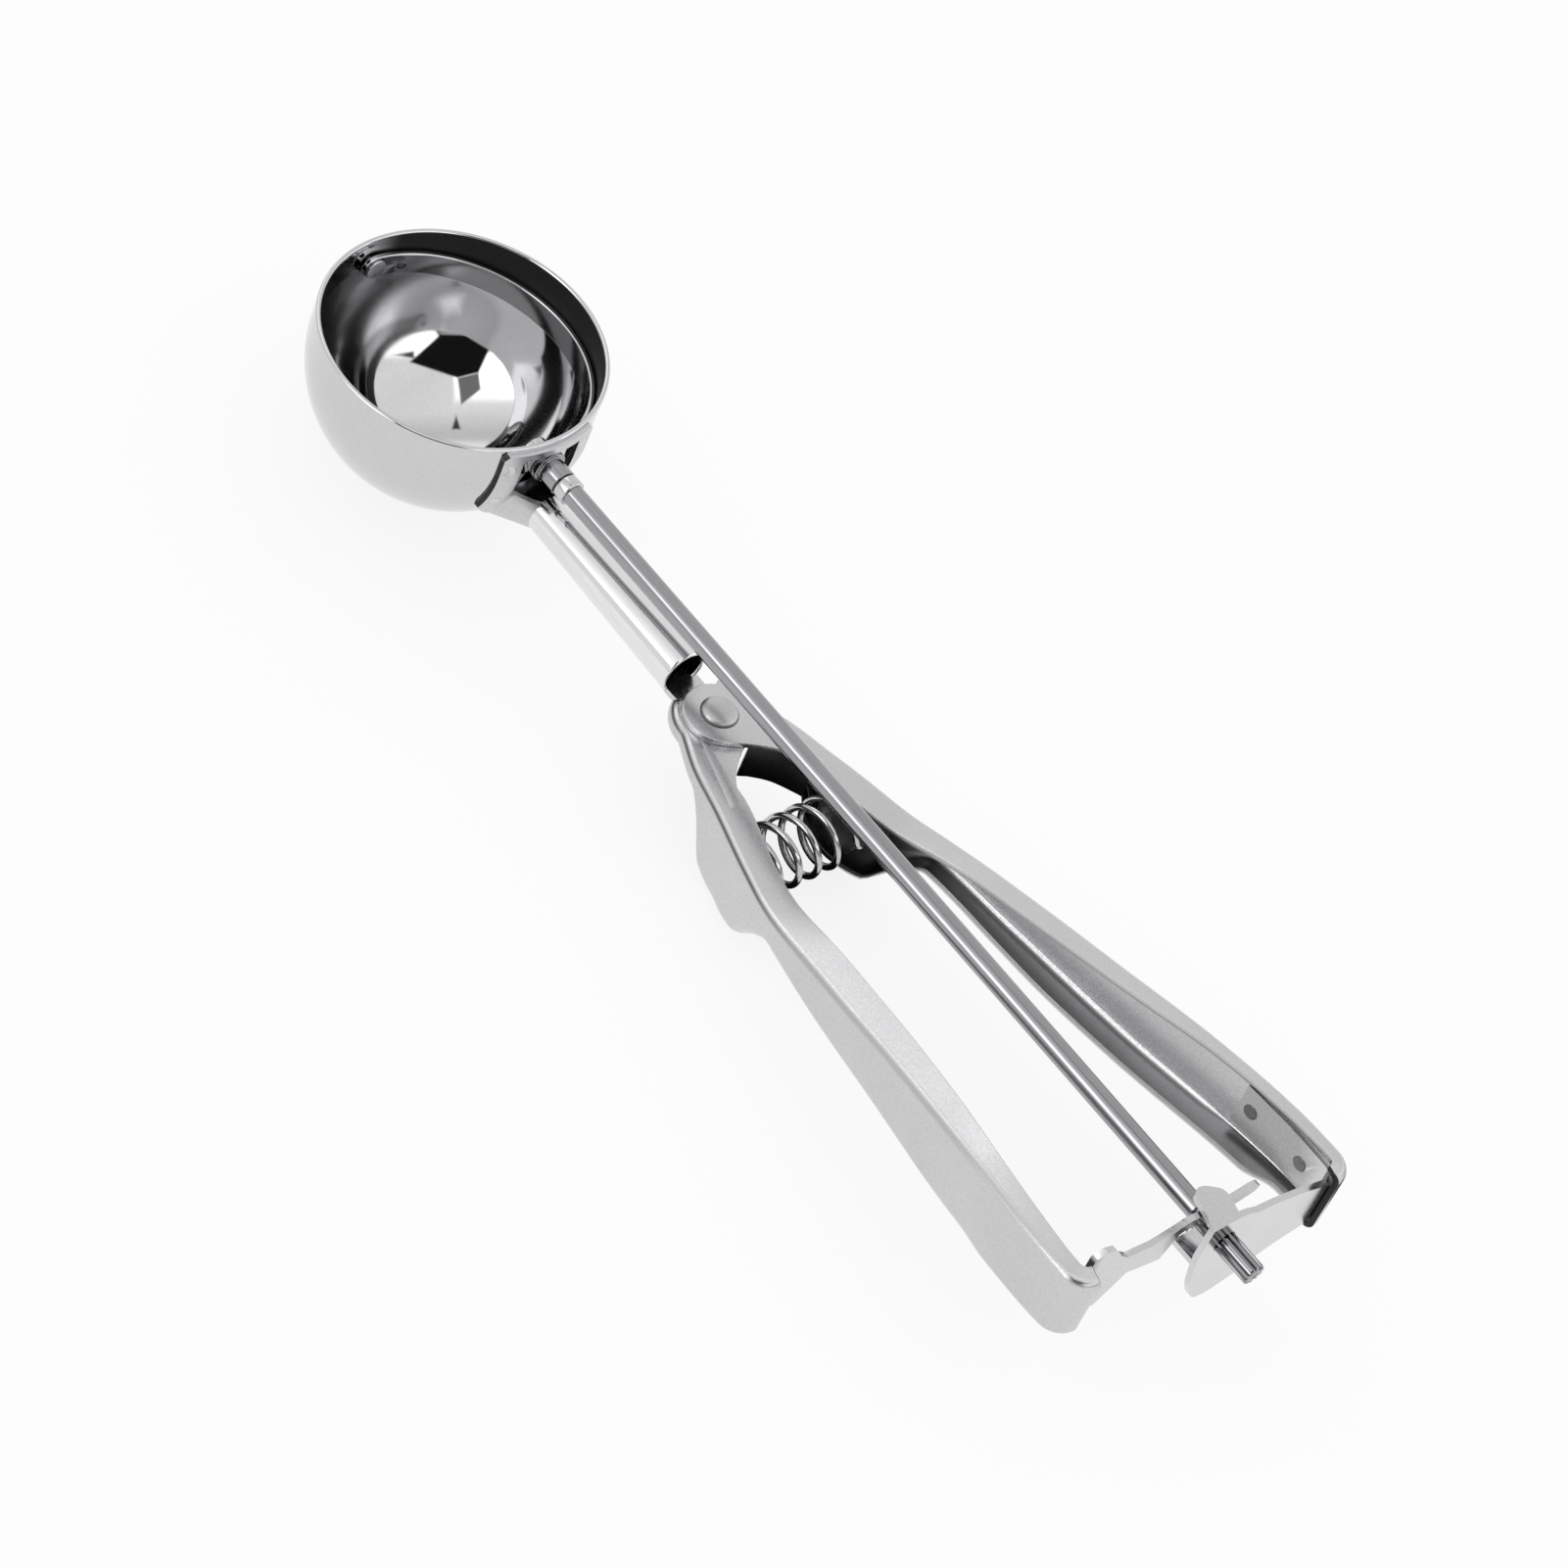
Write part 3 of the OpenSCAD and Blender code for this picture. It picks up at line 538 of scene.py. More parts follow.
# %% Rod and pinion
rod_profile = [(1.0, 19.3), (1.2, 19.5), (1.2, 21.0), (ROD_RADIUS - 0.2, 21.05), (ROD_RADIUS, 21.25),
               (ROD_RADIUS, 60.0), (ROD_RADIUS, 120.0), (ROD_RADIUS, PINION_START - 0.25),
               (ROD_RADIUS - 0.25, PINION_START), (1.0, PINION_START), (1.0, PINION_START + 1.0)]
piece("spindle_shaft", [ringed(turned(rod_profile, "x", 64))], "spindle", rod_steel,
      stands_for=["spindle_rod"])


def flute_radius(angle, teeth=10, root=1.2, tip=1.78):
    """Radius of the fluted outline: a cosine with `teeth` swings, steepened by 1.6 and clipped to root and
    tip, then eased by s s (3 - 2 s)."""
    swing = np.clip(0.5 - 0.8 * np.cos(teeth * angle), 0.0, 1.0)
    return root + (tip - root) * swing * swing * (3 - 2 * swing)


def pinion_rings():
    """Fluted rings along X; the last ones shrink towards the axis for the chamfer and the centre dimple."""
    angle = np.linspace(0.0, 2.0 * np.pi, 200, endpoint=False)
    place_x = np.array([PINION_START, PINION_START + 0.15, PINION_END - 0.3, PINION_END - 0.08, PINION_END])
    shrink = np.array([0.15, 0.0, 0.0, 0.12, 0.35])
    r = np.maximum(flute_radius(angle)[None, :] - shrink[:, None], 0.9)
    rings = np.stack([np.repeat(place_x[:, None], 200, 1), r * np.cos(angle), r * np.sin(angle)], -1)
    dimple = turned([(0.75, PINION_END), (0.6, PINION_END - 0.12), (0.25, PINION_END - 0.4)], "x", 200)
    return np.vstack([rings, dimple])


piece("pinion_flutes", [ringed(pinion_rings(), end=(PINION_END - 0.45, 0, 0))], "spindle",
      rod_steel, stands_for=["pinion"], sharp=28.0)

# %% [markdown]
# ## Neck
#
# The neck is a tube that widens towards the pivot and ends in an open mouth. Its bright polished outside
# matters, and so does the dark hole of its mouth, where no polish reaches. The wall is one closed profile
# that goes out along the tube, over the mouth's rounded edge, and back inside.

# %% Neck tube with a dark inside


def neck_radius(x):
    """The neck's outside radius grows in a straight line from 3.1 at the saddle to 3.9 at its mouth."""
    return 3.1 + 0.8 * (x - NECK_START) / (NECK_MOUTH - NECK_START)


NECK_WALL = 0.7
x_line = np.linspace(NECK_START - 0.3, NECK_MOUTH - 0.35, 40)
outer_line = np.stack([neck_radius(x_line), x_line], -1)
inner_line = np.stack([neck_radius(x_line) - NECK_WALL, x_line], -1)[::-1]
mouth = arc(neck_radius(NECK_MOUTH) - NECK_WALL / 2, NECK_MOUTH - NECK_WALL / 2, NECK_WALL / 2, 0, 180, 9)
neck_skin = turned(np.vstack([outer_line, mouth, inner_line]), "x", 96, centre=(0, 0, -NECK_DROP))
piece("neck_sleeve", [ringed(neck_skin, loop=True)], "frame", tube_steel)

# %% [markdown]
# ## Plates with softened edges
#
# Stamped sheet never has razor edges: tumbling rounds them by a fraction of a millimetre, and that thin
# rounding is what catches the light. A plate here is an outline, raised from one height to another, with
# the first and last rings drawn in by a small quarter circle. The same outline trick serves the flattened
# end of the neck, the handles' ears and the walls folded down from them.

# %% Outlines, smooth paths and rounded plates


def inward(outline):
    """Unit normals that point into a closed outline that runs anticlockwise: the tangent turned left."""
    tangent = np.roll(outline, -1, -2) - np.roll(outline, 1, -2)
    tangent /= np.maximum(np.linalg.norm(tangent, axis=-1, keepdims=True), 1e-9)
    return np.stack([-tangent[..., 1], tangent[..., 0]], -1)


def smooth_path(corners, per_span):
    """Catmull-Rom curve through the corners: on each span a cubic whose end slopes are half the chord
    between the corners on either side."""
    c = np.asarray(corners, float)
    c = np.vstack([2 * c[0] - c[1], c, 2 * c[-1] - c[-2]])
    t = np.linspace(0, 1, per_span, endpoint=False)[None, :, None]
    a, b, d, e = (c[k:len(c) - 3 + k, None, :] for k in range(4))
    curve = 0.5 * (2 * b + (d - a) * t + (2 * a - 5 * b + 4 * d - e) * t**2 + (3 * b - a - 3 * d + e) * t**3)
    return np.vstack([curve.reshape(-1, c.shape[1]), c[-2]])


def rounded_plate(outline, low, high, edge=0.15):
    """A plate from z = low to z = high whose rim is a quarter circle of radius `edge` at both faces."""
    outline = np.asarray(outline, float)
    inset, depth = quarter_round(edge, 4)
    height = np.concatenate([low + depth, (high - depth)[::-1]])
    flat = outline[None] + np.concatenate([inset, inset[::-1]])[:, None, None] * inward(outline)[None]
    return ringed(np.concatenate([flat, np.repeat(height[:, None, None], len(outline), 1)], -1))


TONGUE = MOVING_EAR - 0.1 - SHEET
tongue_outline = np.vstack([
    [[NECK_MOUTH - 6.0, -2.0]],
    [[NECK_MOUTH, -2.6]],
    arc(PIVOT, 0, 4.8, -147.2, 135.1, 50),
    [[NECK_MOUTH, 3.4]],
    [[NECK_MOUTH - 6.0, 2.0]],
])
piece("neck_tongue", [rounded_plate(tongue_outline, TONGUE, TONGUE + SHEET)], "frame",
      plate_steel, stands_for=["neck_tube"])

# %% [markdown]
# ## Handles
#
# Each handle is one strip of sheet pressed into a channel. It starts in a nose round the rivet, drops down
# into a finger guard, narrows, widens again at the grip, and bends round at the end. In cross section it
# is a C: an upper flange, a web, and a lower flange, with rounded corners and softened free edges. The
# tables below say how that C changes with the distance behind the rivet. A monotone cubic between the
# stations keeps the flowing lines of the pressing without any overshoot. The rings of the C are then
# carried along the handle's plan line. Modelling it as a sheet with a Solidify modifier was the other
# choice, but then the free edges would be square and the corners uneven.

# %% Stations of the channel
WIDTH = [(0, 6.9), (6, 9.5), (13.5, 11.5), (23.5, 14.6), (33.5, 17.3), (48.5, 19.6), (63.5, 21.4),
         (82.5, 23.9), (93.5, 25.0), (99.5, 25.3), (109.5, 25.3)]
TOP = [(0, -8.44), (14, -8.44), (27, -8.2), (43.5, -5.7), (63.5, -2.6), (84.5, 0.1), (104.5, 1.4),
       (109.5, 1.5)]
BOTTOM = [(0, -11.1), (7, -11.5), (10.5, -14.5), (14.5, -20.6), (18.5, -21.7), (22, -21.8), (25, -21.2),
          (27.5, -18.2), (30, -15.2), (33.5, -12.8), (48.5, -13.3), (70.5, -13.2), (92.5, -11.7),
          (109.5, -10.4)]
UPPER_FLANGE = [(0, 3.6), (6, 4.6), (14, 5.6), (26, 5.2), (45, 5.3), (70, 4.6), (84.5, 3.6), (101.5, 2.8),
                (109.5, 2.4)]
FLARE = [(0, 0), (22, 0), (45, 1.2), (84.5, 1), (101.5, 0.5), (109.5, 0.4)]
LOWER_FLANGE = [(0, 1.4), (10, 1.6), (16, 3.6), (20, 4.8), (25, 4.9), (30, 4.0), (40, 4.4), (60, 5.6),
                (95.5, 5.4), (101.5, 3.6), (109.5, 3.6)]
UPPER_CORNER = [(0, 1.3), (28, 1.3), (45, 1.6), (109.5, 1.4)]
LOWER_CORNER = [(0, 1.25), (10, 1.35), (16, 3.0), (20, 4.2), (25, 4.2), (29, 3.0), (34, 2.3), (60, 2.6),
                (84, 2.4), (89.5, 1.5), (109.5, 1.4)]
NOSE_RADIUS = 6.9
END_BEND = 4.0
LIFT_ENDS = 28.0
EDGE = 0.22


def along(table, x):
    """Value at x of a smooth line through (x, value) stations: a cubic on each span, whose end slopes are
    the harmonic mean of the neighbouring rises, or nothing where the rises change sign."""
    t = np.asarray(table, float)
    gap = np.diff(t[:, 0])
    rise = np.diff(t[:, 1]) / gap
    both = rise[:-1] + rise[1:]
    same_way = rise[:-1] * rise[1:] > 0
    mean = np.where(same_way, 2 * rise[:-1] * rise[1:] / np.where(same_way, both, 1.0), 0.0)
    slope = np.concatenate([rise[:1], mean, rise[-1:]])
    k = np.clip(np.searchsorted(t[:, 0], x, side="right") - 1, 0, len(gap) - 1)
    w = np.clip((x - t[k, 0]) / gap[k], 0.0, 1.0)
    a, b, da, db = t[k, 1], t[k + 1, 1], slope[k] * gap[k], slope[k + 1] * gap[k]
    leaving = a * (1 + 2 * w) * (1 - w) ** 2 + da * w * (1 - w) ** 2
    return leaving + b * w * w * (3 - 2 * w) + db * w * w * (w - 1)


def width_slope(x):
    """Slope of the handle's plan line at x: the rise of its width over 0.4 mm, divided by 0.4."""
    return (along(WIDTH, x + 0.2) - along(WIDTH, x - 0.2)) / 0.4


print(f"the grip stands {along(WIDTH, 90.0):.1f} mm from the middle, 90 mm behind the rivet")

# %% [markdown]
# ### The C section and its journey
#
# One lap of the section goes from the upper flange's edge over the outer corner, down the web, round the
# lower flange and back up inside. Both free edges and both ends of the strip get the same small rounding.

# %% Channel surface


def c_section(top, bottom, upper, lower, r_top, r_bottom):
    """Rings (stations, points, 2) of (depth q into the handle, height z), anticlockwise: straight lines
    between circle arcs, with r_top and r_bottom outside, and less by the sheet inside."""
    def bend(q, z, r, first, last, count):
        angle = np.radians(np.linspace(first, last, count))[None, :]
        swing, rise = r[:, None] * np.cos(angle), r[:, None] * np.sin(angle)
        return np.stack([q[:, None] + swing, z[:, None] + rise], -1)

    edge = np.full_like(top, EDGE)
    upper_end, lower_end = top - r_top, bottom + r_bottom
    web_z = upper_end[:, None] + (lower_end - upper_end)[:, None] * np.linspace(0, 1, 7)[None, 1:-1]
    return np.concatenate([
        bend(upper - EDGE, top - EDGE, edge, 0, 90, 4),
        bend(r_top, upper_end, r_top, 90, 180, 10),
        np.stack([0 * web_z, web_z], -1),
        bend(r_bottom, lower_end, r_bottom, 180, 270, 10),
        bend(lower - EDGE, bottom + EDGE, edge, 270, 360, 4),
        bend(lower - EDGE, bottom + SHEET - EDGE, edge, 0, 90, 4),
        bend(r_bottom, lower_end, r_bottom - SHEET, 270, 180, 10),
        np.stack([0 * web_z + SHEET, web_z[:, ::-1]], -1),
        bend(r_top, upper_end, r_top - SHEET, 180, 90, 10),
        bend(upper - EDGE, top - SHEET + EDGE, edge, -90, 0, 4),
    ], 1)


def channel(lift, run, nose):
    """The C section carried along the plan line: round the nose (angles below 0), straight back along the
    stations, and round the end bend (angles up to 90). Point = plan point + q * inward normal, at height z.
    lift raises the upper flange round the rivet and fades out before LIFT_ENDS."""
    round_nose = np.linspace(-nose, 0, 16)[:-1]
    straight = np.linspace(0, run, 130)
    last = 90.0 - math.degrees(EDGE / END_BEND)
    round_end = np.linspace(0, last, 16)[1:]
    x = np.concatenate([0 * round_nose, straight, 0 * round_end + run])
    angle = np.radians(np.concatenate([round_nose, 0 * straight, round_end]))
    width = along(WIDTH, x)
    slope = np.where(x == 0, 0.0, width_slope(x))
    ahead = angle < 0
    plan_x = np.where(ahead, NOSE_RADIUS * np.sin(angle), x + END_BEND * np.sin(angle))
    plan_y = np.where(ahead, NOSE_RADIUS * np.cos(angle), width - END_BEND * (1 - np.cos(angle)))
    heading = np.where(angle != 0, angle, -np.arctan(slope))
    normal = np.stack([-np.sin(heading), -np.cos(heading)], -1)
    fade = np.clip((x - LIFT_ENDS / 2) / (LIFT_ENDS / 2), 0, 1)
    raised = lift * (1 - fade * fade * (3 - 2 * fade))
    top, upper, corner = along(TOP, x) + raised, along(UPPER_FLANGE, x), along(UPPER_CORNER, x)
    section = c_section(top, along(BOTTOM, x), upper, along(LOWER_FLANGE, x), corner, along(LOWER_CORNER, x))
    # the upper flange rises in a straight line from the corner to its free edge
    share = np.clip((section[..., 0] - corner[:, None]) / (upper - corner)[:, None], 0.0, 1.0)
    share *= section[..., 1] > (top - 1.5 * SHEET)[:, None]
    section[..., 1] += along(FLARE, x)[:, None] * share
    # both ends: the last ring again, moved on round a quarter circle and drawn in
    to_go, drawn_in = quarter_round(EDGE, 5)
    tangent = np.stack([-normal[:, 1], normal[:, 0]], -1)
    plan = np.stack([plan_x, plan_y], -1)

    def end_rings(k, way):
        moved = plan[k] + way * (EDGE - to_go[1:, None]) * tangent[k]
        drawn = section[k][None] + drawn_in[1:, None, None] * inward(section[k])[None]
        return moved, drawn

    front, rear = end_rings(0, -1.0), end_rings(-1, 1.0)
    plan = np.vstack([front[0][::-1], plan, rear[0]])
    section = np.concatenate([front[1][::-1], section, rear[1]])
    normal = np.vstack([np.repeat(normal[:1], 4, 0), normal, np.repeat(normal[-1:], 4, 0)])
    q, z = section[..., :1], section[..., 1:]
    flat = plan[:, None, :] + q * normal[:, None, :] + [PIVOT, 0.0]
    return ringed(np.concatenate([flat, z], -1))


fixed_channel = channel(1.1, RACK_RADIUS + 0.7, 50.0)
moving_channel = channel(0.0, RACK_RADIUS - 3.0, 58.0)
for side, curved in (("fixed", fixed_channel), ("moving", moving_channel)):
    print(f"the {side} channel holds {abs(volume_of(*curved)):.0f} mm3 of sheet")

# %% [markdown]
# ### Ears and folded walls
#
# Each handle has a flat ear that lies on the other one's under the rivet, and a short wall that is folded
# down beside the spring. Both are rounded plates: an outline of one arc and smooth curves, raised by the
# sheet's thickness. The moving handle's are a mirror image at another height, so one function makes both.

# %% Both handles
ear_tail = smooth_path([(3.4, -4.2), (5.0, -2.2), (7.0, 1.2), (10.0, 4.6), (14.0, 7.0)], 8)
ear_outline = np.vstack([arc(0, 0, 5.4, 68, 306, 60), ear_tail, [[14.0, 9.0]]]) + [PIVOT, 0.0]
lip_outer = smooth_path([(6.6, 0.5), (7.7, 2.1), (10.0, 4.6), (14.0, 7.0)], 8)
lip_inner = smooth_path([(5.95, 1.3), (7.0, 2.8), (9.4, 5.5), (13.5, 7.9)], 8)
lip_outline = np.vstack([lip_outer, lip_inner[::-1]]) + [PIVOT, 0.0]
LIP_BOTTOM = MOVING_EAR - 5.0
EAR_LIFT, EAR_PROUD = 0.03, 0.08


def handle_parts(curved, ear_z, side):
    """Channel, ear and folded wall of one handle; side -1 mirrors it to the moving side: y -> -y."""
    parts = [curved,
             rounded_plate(ear_outline, ear_z + EAR_LIFT, ear_z + SHEET + EAR_PROUD, 0.12),
             rounded_plate(lip_outline, LIP_BOTTOM, ear_z + SHEET / 2, 0.2)]
    return [(points * [1.0, side, 1.0], faces) for points, faces in parts]


fixed_handle = piece("fixed_grip", handle_parts(fixed_channel, FIXED_EAR, 1.0), "frame",
                     handle_steel, stands_for=["fixed_handle"])
moving_handle = piece("moving_grip", handle_parts(moving_channel, MOVING_EAR, -1.0), "lever",
                      handle_steel, stands_for=["moving_handle"])

# %% [markdown]
# ### Painted shade on the handles
#
# The inside of the channel, the deep place beside the spring and the sheared end of the strip read dark,
# and that darkness is painted shade. As in the bowl, a number per point says how dark, and it also adds
# some roughness. The points of a lap always come in the same order, so the place of a point in its lap
# tells which face it is on. The table gives first point, end and shade of the upper edge's crease, the
# lower flange's inside, the inner web, the inner upper corner and the upper flange's underside.

# %% Painted shade inside the channels
LAP, PLATE_RINGS = 66, 8
LAP_SHADES = ((8, 10, 0.3), (33, 41, 0.42), (47, 52, 0.08), (52, 62, 0.35), (62, 66, 0.5))
CAVITY_SHADE, CAVITY_ENDS, CAVITY_FADE = 0.9, 38.0, 12.0


def shade_handle(obj):
    """A lap of the channel has 66 points: 4 + 10 on the upper corner, 5 on the web, 10 + 4 on the lower
    flange, then the same back inside. Each share of the lap gets its own painted shade, and the cavity near
    the rivet is painted nearly black: shade = lap + (0.9 - lap) * fade, with fade falling from 1 to 0
    between 26 and 38 mm. The last four rings are the sheared end of the strip, painted black as shade."""
    count = len(obj.data.vertices)
    behind = work_places(obj)[:, 0] - PIVOT
    lip_points = PLATE_RINGS * len(lip_outline)
    channel_points = count - PLATE_RINGS * len(ear_outline) - lip_points
    lap = np.zeros(LAP)
    for first, end, dark in LAP_SHADES:
        lap[first:end] = dark
    k = np.arange(channel_points) % LAP
    shade = np.zeros(count)
    shade[:channel_points] = lap[k]
    fade = np.clip((CAVITY_ENDS - behind[:channel_points]) / CAVITY_FADE, 0, 1)
    on_crease = (k >= 8) & (k < 10)
    shade[:channel_points] += np.where(k >= 33, (CAVITY_SHADE - lap[k]) * fade, 0.5 * on_crease * fade)
    # painted shade: the sheared end of the strip is painted black
    shade[channel_points - 4 * LAP:channel_points] = 1.0
    # painted shade: the folded walls beside the spring are painted as dark as the cavity
    shade[-lip_points:] = CAVITY_SHADE
    set_shade(obj, shade)


shade_handle(fixed_handle)
shade_handle(moving_handle)

# %% [markdown]
# ## Rivet and collar
#
# Round hardware is quick to turn from a profile. The rivet's head is a low dome with a soft rim, as a
# hammered or spun rivet has, and its tail is a flat upset button below the neck's tongue.

# %% Turned hardware
dome = arc(0, 0, 1, 90, 0, 12) * [2.75, 0.95] + [0, -NECK_DROP + 0.3]
rivet_profile = np.vstack([
    [[0.4, TONGUE - 1.0], [2.6, TONGUE - 1.0], [2.85, TONGUE - 0.8], [2.9, TONGUE - 0.15], [2.8, TONGUE]],
    [[2.0, TONGUE + 0.02], [2.0, -NECK_DROP - 0.02]],
    [[2.8, -NECK_DROP], [2.9, -NECK_DROP + 0.08], [2.88, -NECK_DROP + 0.22]],
    dome[::-1][1:-1],
])
rivet_rings = turned(rivet_profile, "z", 64, centre=(PIVOT, 0, 0))
rivet = piece("pivot_rivet_head", [ringed(rivet_rings, end=(PIVOT, 0, -NECK_DROP + 1.25))], "frame",
              rivet_steel, stands_for=["pivot_rivet"])
# rows 7 to 9 of the profile are the head's rim, and row 10 is the foot of its dome; painted shade on
# them draws a dark ring where the head sits on the ear
rim_shade = np.zeros(rivet_rings.shape[:2])
rim_shade[7:10], rim_shade[10] = 0.85, 0.5
set_shade(rivet, np.concatenate([rim_shade.ravel(), [0.0]]))

COLLAR_RADIUS, COLLAR_START, COLLAR_END = 2.1, 26.4, 28.4
collar_profile = np.vstack([
    arc(COLLAR_RADIUS - 0.2, COLLAR_START + 0.2, 0.2, 270, 360, 5),
    arc(COLLAR_RADIUS - 0.2, COLLAR_END - 0.2, 0.2, 0, 90, 5),
    [[ROD_RADIUS - 0.1, COLLAR_END], [ROD_RADIUS - 0.1, COLLAR_START]],
])
piece("spindle_ring", [ringed(turned(collar_profile, "x", 64), loop=True)], "spindle",
      mirror_steel, stands_for=["spindle_collar"])

# %% [markdown]
# ## Return spring
#
# The spring that pushes the handles apart is one drawn wire: a coil, then a quarter bend and a short
# straight end at each side that sits in the handle. Its centre line is a helix, and a ring of points is
# carried along it. The ring is turned by two directions that come straight from the geometry: outwards
# from the coil's axis, and across the wire.

# %% Spring wire carried along a helix
SPRING_ARM = 20.2
SPRING_X = PIVOT + SPRING_ARM
SPRING_Z = MOVING_EAR - 0.3 - 5.4
SPRING_HALF = 10.4
COIL_RADIUS = 4.9
WIRE_RADIUS = 0.54
TURNS = 4.5
COIL_START = math.radians(22.0)
ELBOW = 1.0
COIL_HALF = SPRING_HALF - 0.02 - 2 * ELBOW


def spring_line():
    """Helix (r cos a, h (1 - 2 t), r sin a), with a quarter circle and a straight end added at each side."""
    t = np.linspace(0, 1, 180)
    a = COIL_START + 2 * np.pi * TURNS * t
    coil = np.stack([COIL_RADIUS * np.cos(a), COIL_HALF * (1 - 2 * t), COIL_RADIUS * np.sin(a)], -1)
    quarter = np.linspace(0, 0.5 * np.pi, 8)[1:, None]
    ends = []
    for point, angle, way in ((coil[0], a[0], -1.0), (coil[-1], a[-1], 1.0)):
        onward = way * np.array([-math.sin(angle), 0.0, math.cos(angle)])
        outward = np.array([0.0, -way, 0.0])
        elbow = point + ELBOW * (np.sin(quarter) * onward + (1 - np.cos(quarter)) * outward)
        lead = elbow[-1] + np.linspace(0.25, 1, 4)[:, None] * outward
        ends.append(np.vstack([elbow, lead]))
    return np.vstack([ends[0][::-1], coil, ends[1]])


def wire_rings(line, radius, count=12):
    """Rings round the line: centre + r (cos b u + sin b v), where u points away from the coil's axis, made
    square to the tangent, and v is their cross product."""
    tangent = np.gradient(line, axis=0)
    tangent /= np.linalg.norm(tangent, axis=1, keepdims=True)
    u = line * [1.0, 0.0, 1.0]
    u -= (u * tangent).sum(1, keepdims=True) * tangent
    u /= np.linalg.norm(u, axis=1, keepdims=True)
    v = np.cross(tangent, u)
    b = np.linspace(0, 2 * np.pi, count, endpoint=False)[None, :, None]
    return line[:, None] + radius * (np.cos(b) * u[:, None] + np.sin(b) * v[:, None])


line = spring_line()
spring_rings = wire_rings(line, WIRE_RADIUS) + [SPRING_X, 0.0, SPRING_Z]
spring = piece("return_coil", [ringed(spring_rings)], "frame", wire_steel,
               stands_for=["return_spring"], sharp=50.0)
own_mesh(spring)

# %% [markdown]
# ## Pieces that keep their CAD shape
#
# The bracket, the rack, the saddle and a few small turned pieces are right as the CAD model has them, but
# their edges are perfectly sharp. A copy of each gets its doubled points merged, its flat regions cleaned,
# and a narrow Bevel modifier on the edges that turn by more than 32 degrees. The bevel gives them the
# bright hairline along the edge that tumbled sheet shows.

# %% Softened copies
SHARP_TURN = 32.0
LEAST_TURN, MOST_TURN = math.radians(8), math.radians(75)
LONG_SIDE = 7.0


def round_corners(work, share):
    """Rounds the corners of a stamped outline. They are the edges as long as the sheet is thick, with three
    edges at both ends; each is cut back by a share of its short neighbours, so a many-sided line turns
    smooth."""
    corners = []
    for edge in work.edges:
        if not 0.9 * SHEET < 1000.0 * edge.calc_length() < 1.1 * SHEET or len(edge.link_faces) != 2:
            continue
        if not LEAST_TURN < edge.calc_face_angle() < MOST_TURN:
            continue
        others = [e.calc_length() * 1000.0 for v in edge.verts for e in v.link_edges if e is not edge]
        if len(others) == 4 and max(others) < LONG_SIDE:
            corners.append(edge)
    bmesh.ops.bevel(work, geom=corners, offset=100.0 * share, offset_type="PERCENT", segments=3, profile=0.5,
                    affect="EDGES", clamp_overlap=False)
    open_edges = sum(1 for e in work.edges if not e.is_manifold)
    print(f"{len(corners)} corners of the outline rounded, {open_edges} open edges")


def softened_copy(name, node, width, material, segments=3, corner_share=0.0):
    """A copy of a CAD node whose sharp edges are rounded by `width` millimetres."""
    mesh = nodes[node].data.copy()
    mesh.name = name
    work = bmesh.new()
    work.from_mesh(mesh)
    bmesh.ops.remove_doubles(work, verts=work.verts, dist=2e-6)
    bmesh.ops.dissolve_limit(work, angle_limit=math.radians(0.8), verts=work.verts, edges=work.edges)
    if corner_share > 0.0:
        round_corners(work, corner_share)
    work.to_mesh(mesh)
    work.free()
    mesh.materials.clear()
    mesh.shade_smooth()
    mesh.set_sharp_from_angle(angle=math.radians(SHARP_TURN))
    obj = object_of(mesh, material)
    bevel = obj.modifiers.new("edge", "BEVEL")
    bevel.width = width / 1000.0
    bevel.segments = segments
    bevel.limit_method = "ANGLE"
    bevel.angle_limit = math.radians(SHARP_TURN)
    bevel.harden_normals = True
    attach(obj, nodes[node]["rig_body"])
    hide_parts(node)
    print(f"{name}: {len(mesh.polygons)} faces before the bevel")
    return obj


def darken_cut_edge(obj, radius, dark):
    """Gives a second material to the faces that stand square on a sphere round the bowl's centre, which are
    the sheared edges of the saddle: |normal . radial direction| < 0.5 and |normal y| > 0.4, between
    radius - 0.9 and radius + 0.1 mm."""
    obj.data.materials.append(dark)
    centre = Vector(placed([0, 0, 0]))
    count = 0
    for face in obj.data.polygons:
        ray_out = face.center - centre
        at_the_rim = radius - 0.9 < 1000.0 * ray_out.length < radius + 0.1
        square = abs(face.normal.dot(ray_out.normalized())) < 0.5 and abs(face.normal.y) > 0.4
        if at_the_rim and square:
            face.material_index = 1
            count += 1
    print(f"{obj.name}: {count} faces of the cut edge")


SADDLE_RADIUS = BOWL_RADIUS + 0.8
TAB_INNER_SIDE = 20.0
bracket = softened_copy("guide_plate", "guide_bracket", 0.16, plate_steel, corner_share=0.3)
rack = softened_copy("rack_blade", "rack", 0.05, plate_steel, 2, corner_share=0.2)
saddle = softened_copy("neck_saddle_cup", "neck_saddle", 0.2, cup_steel)
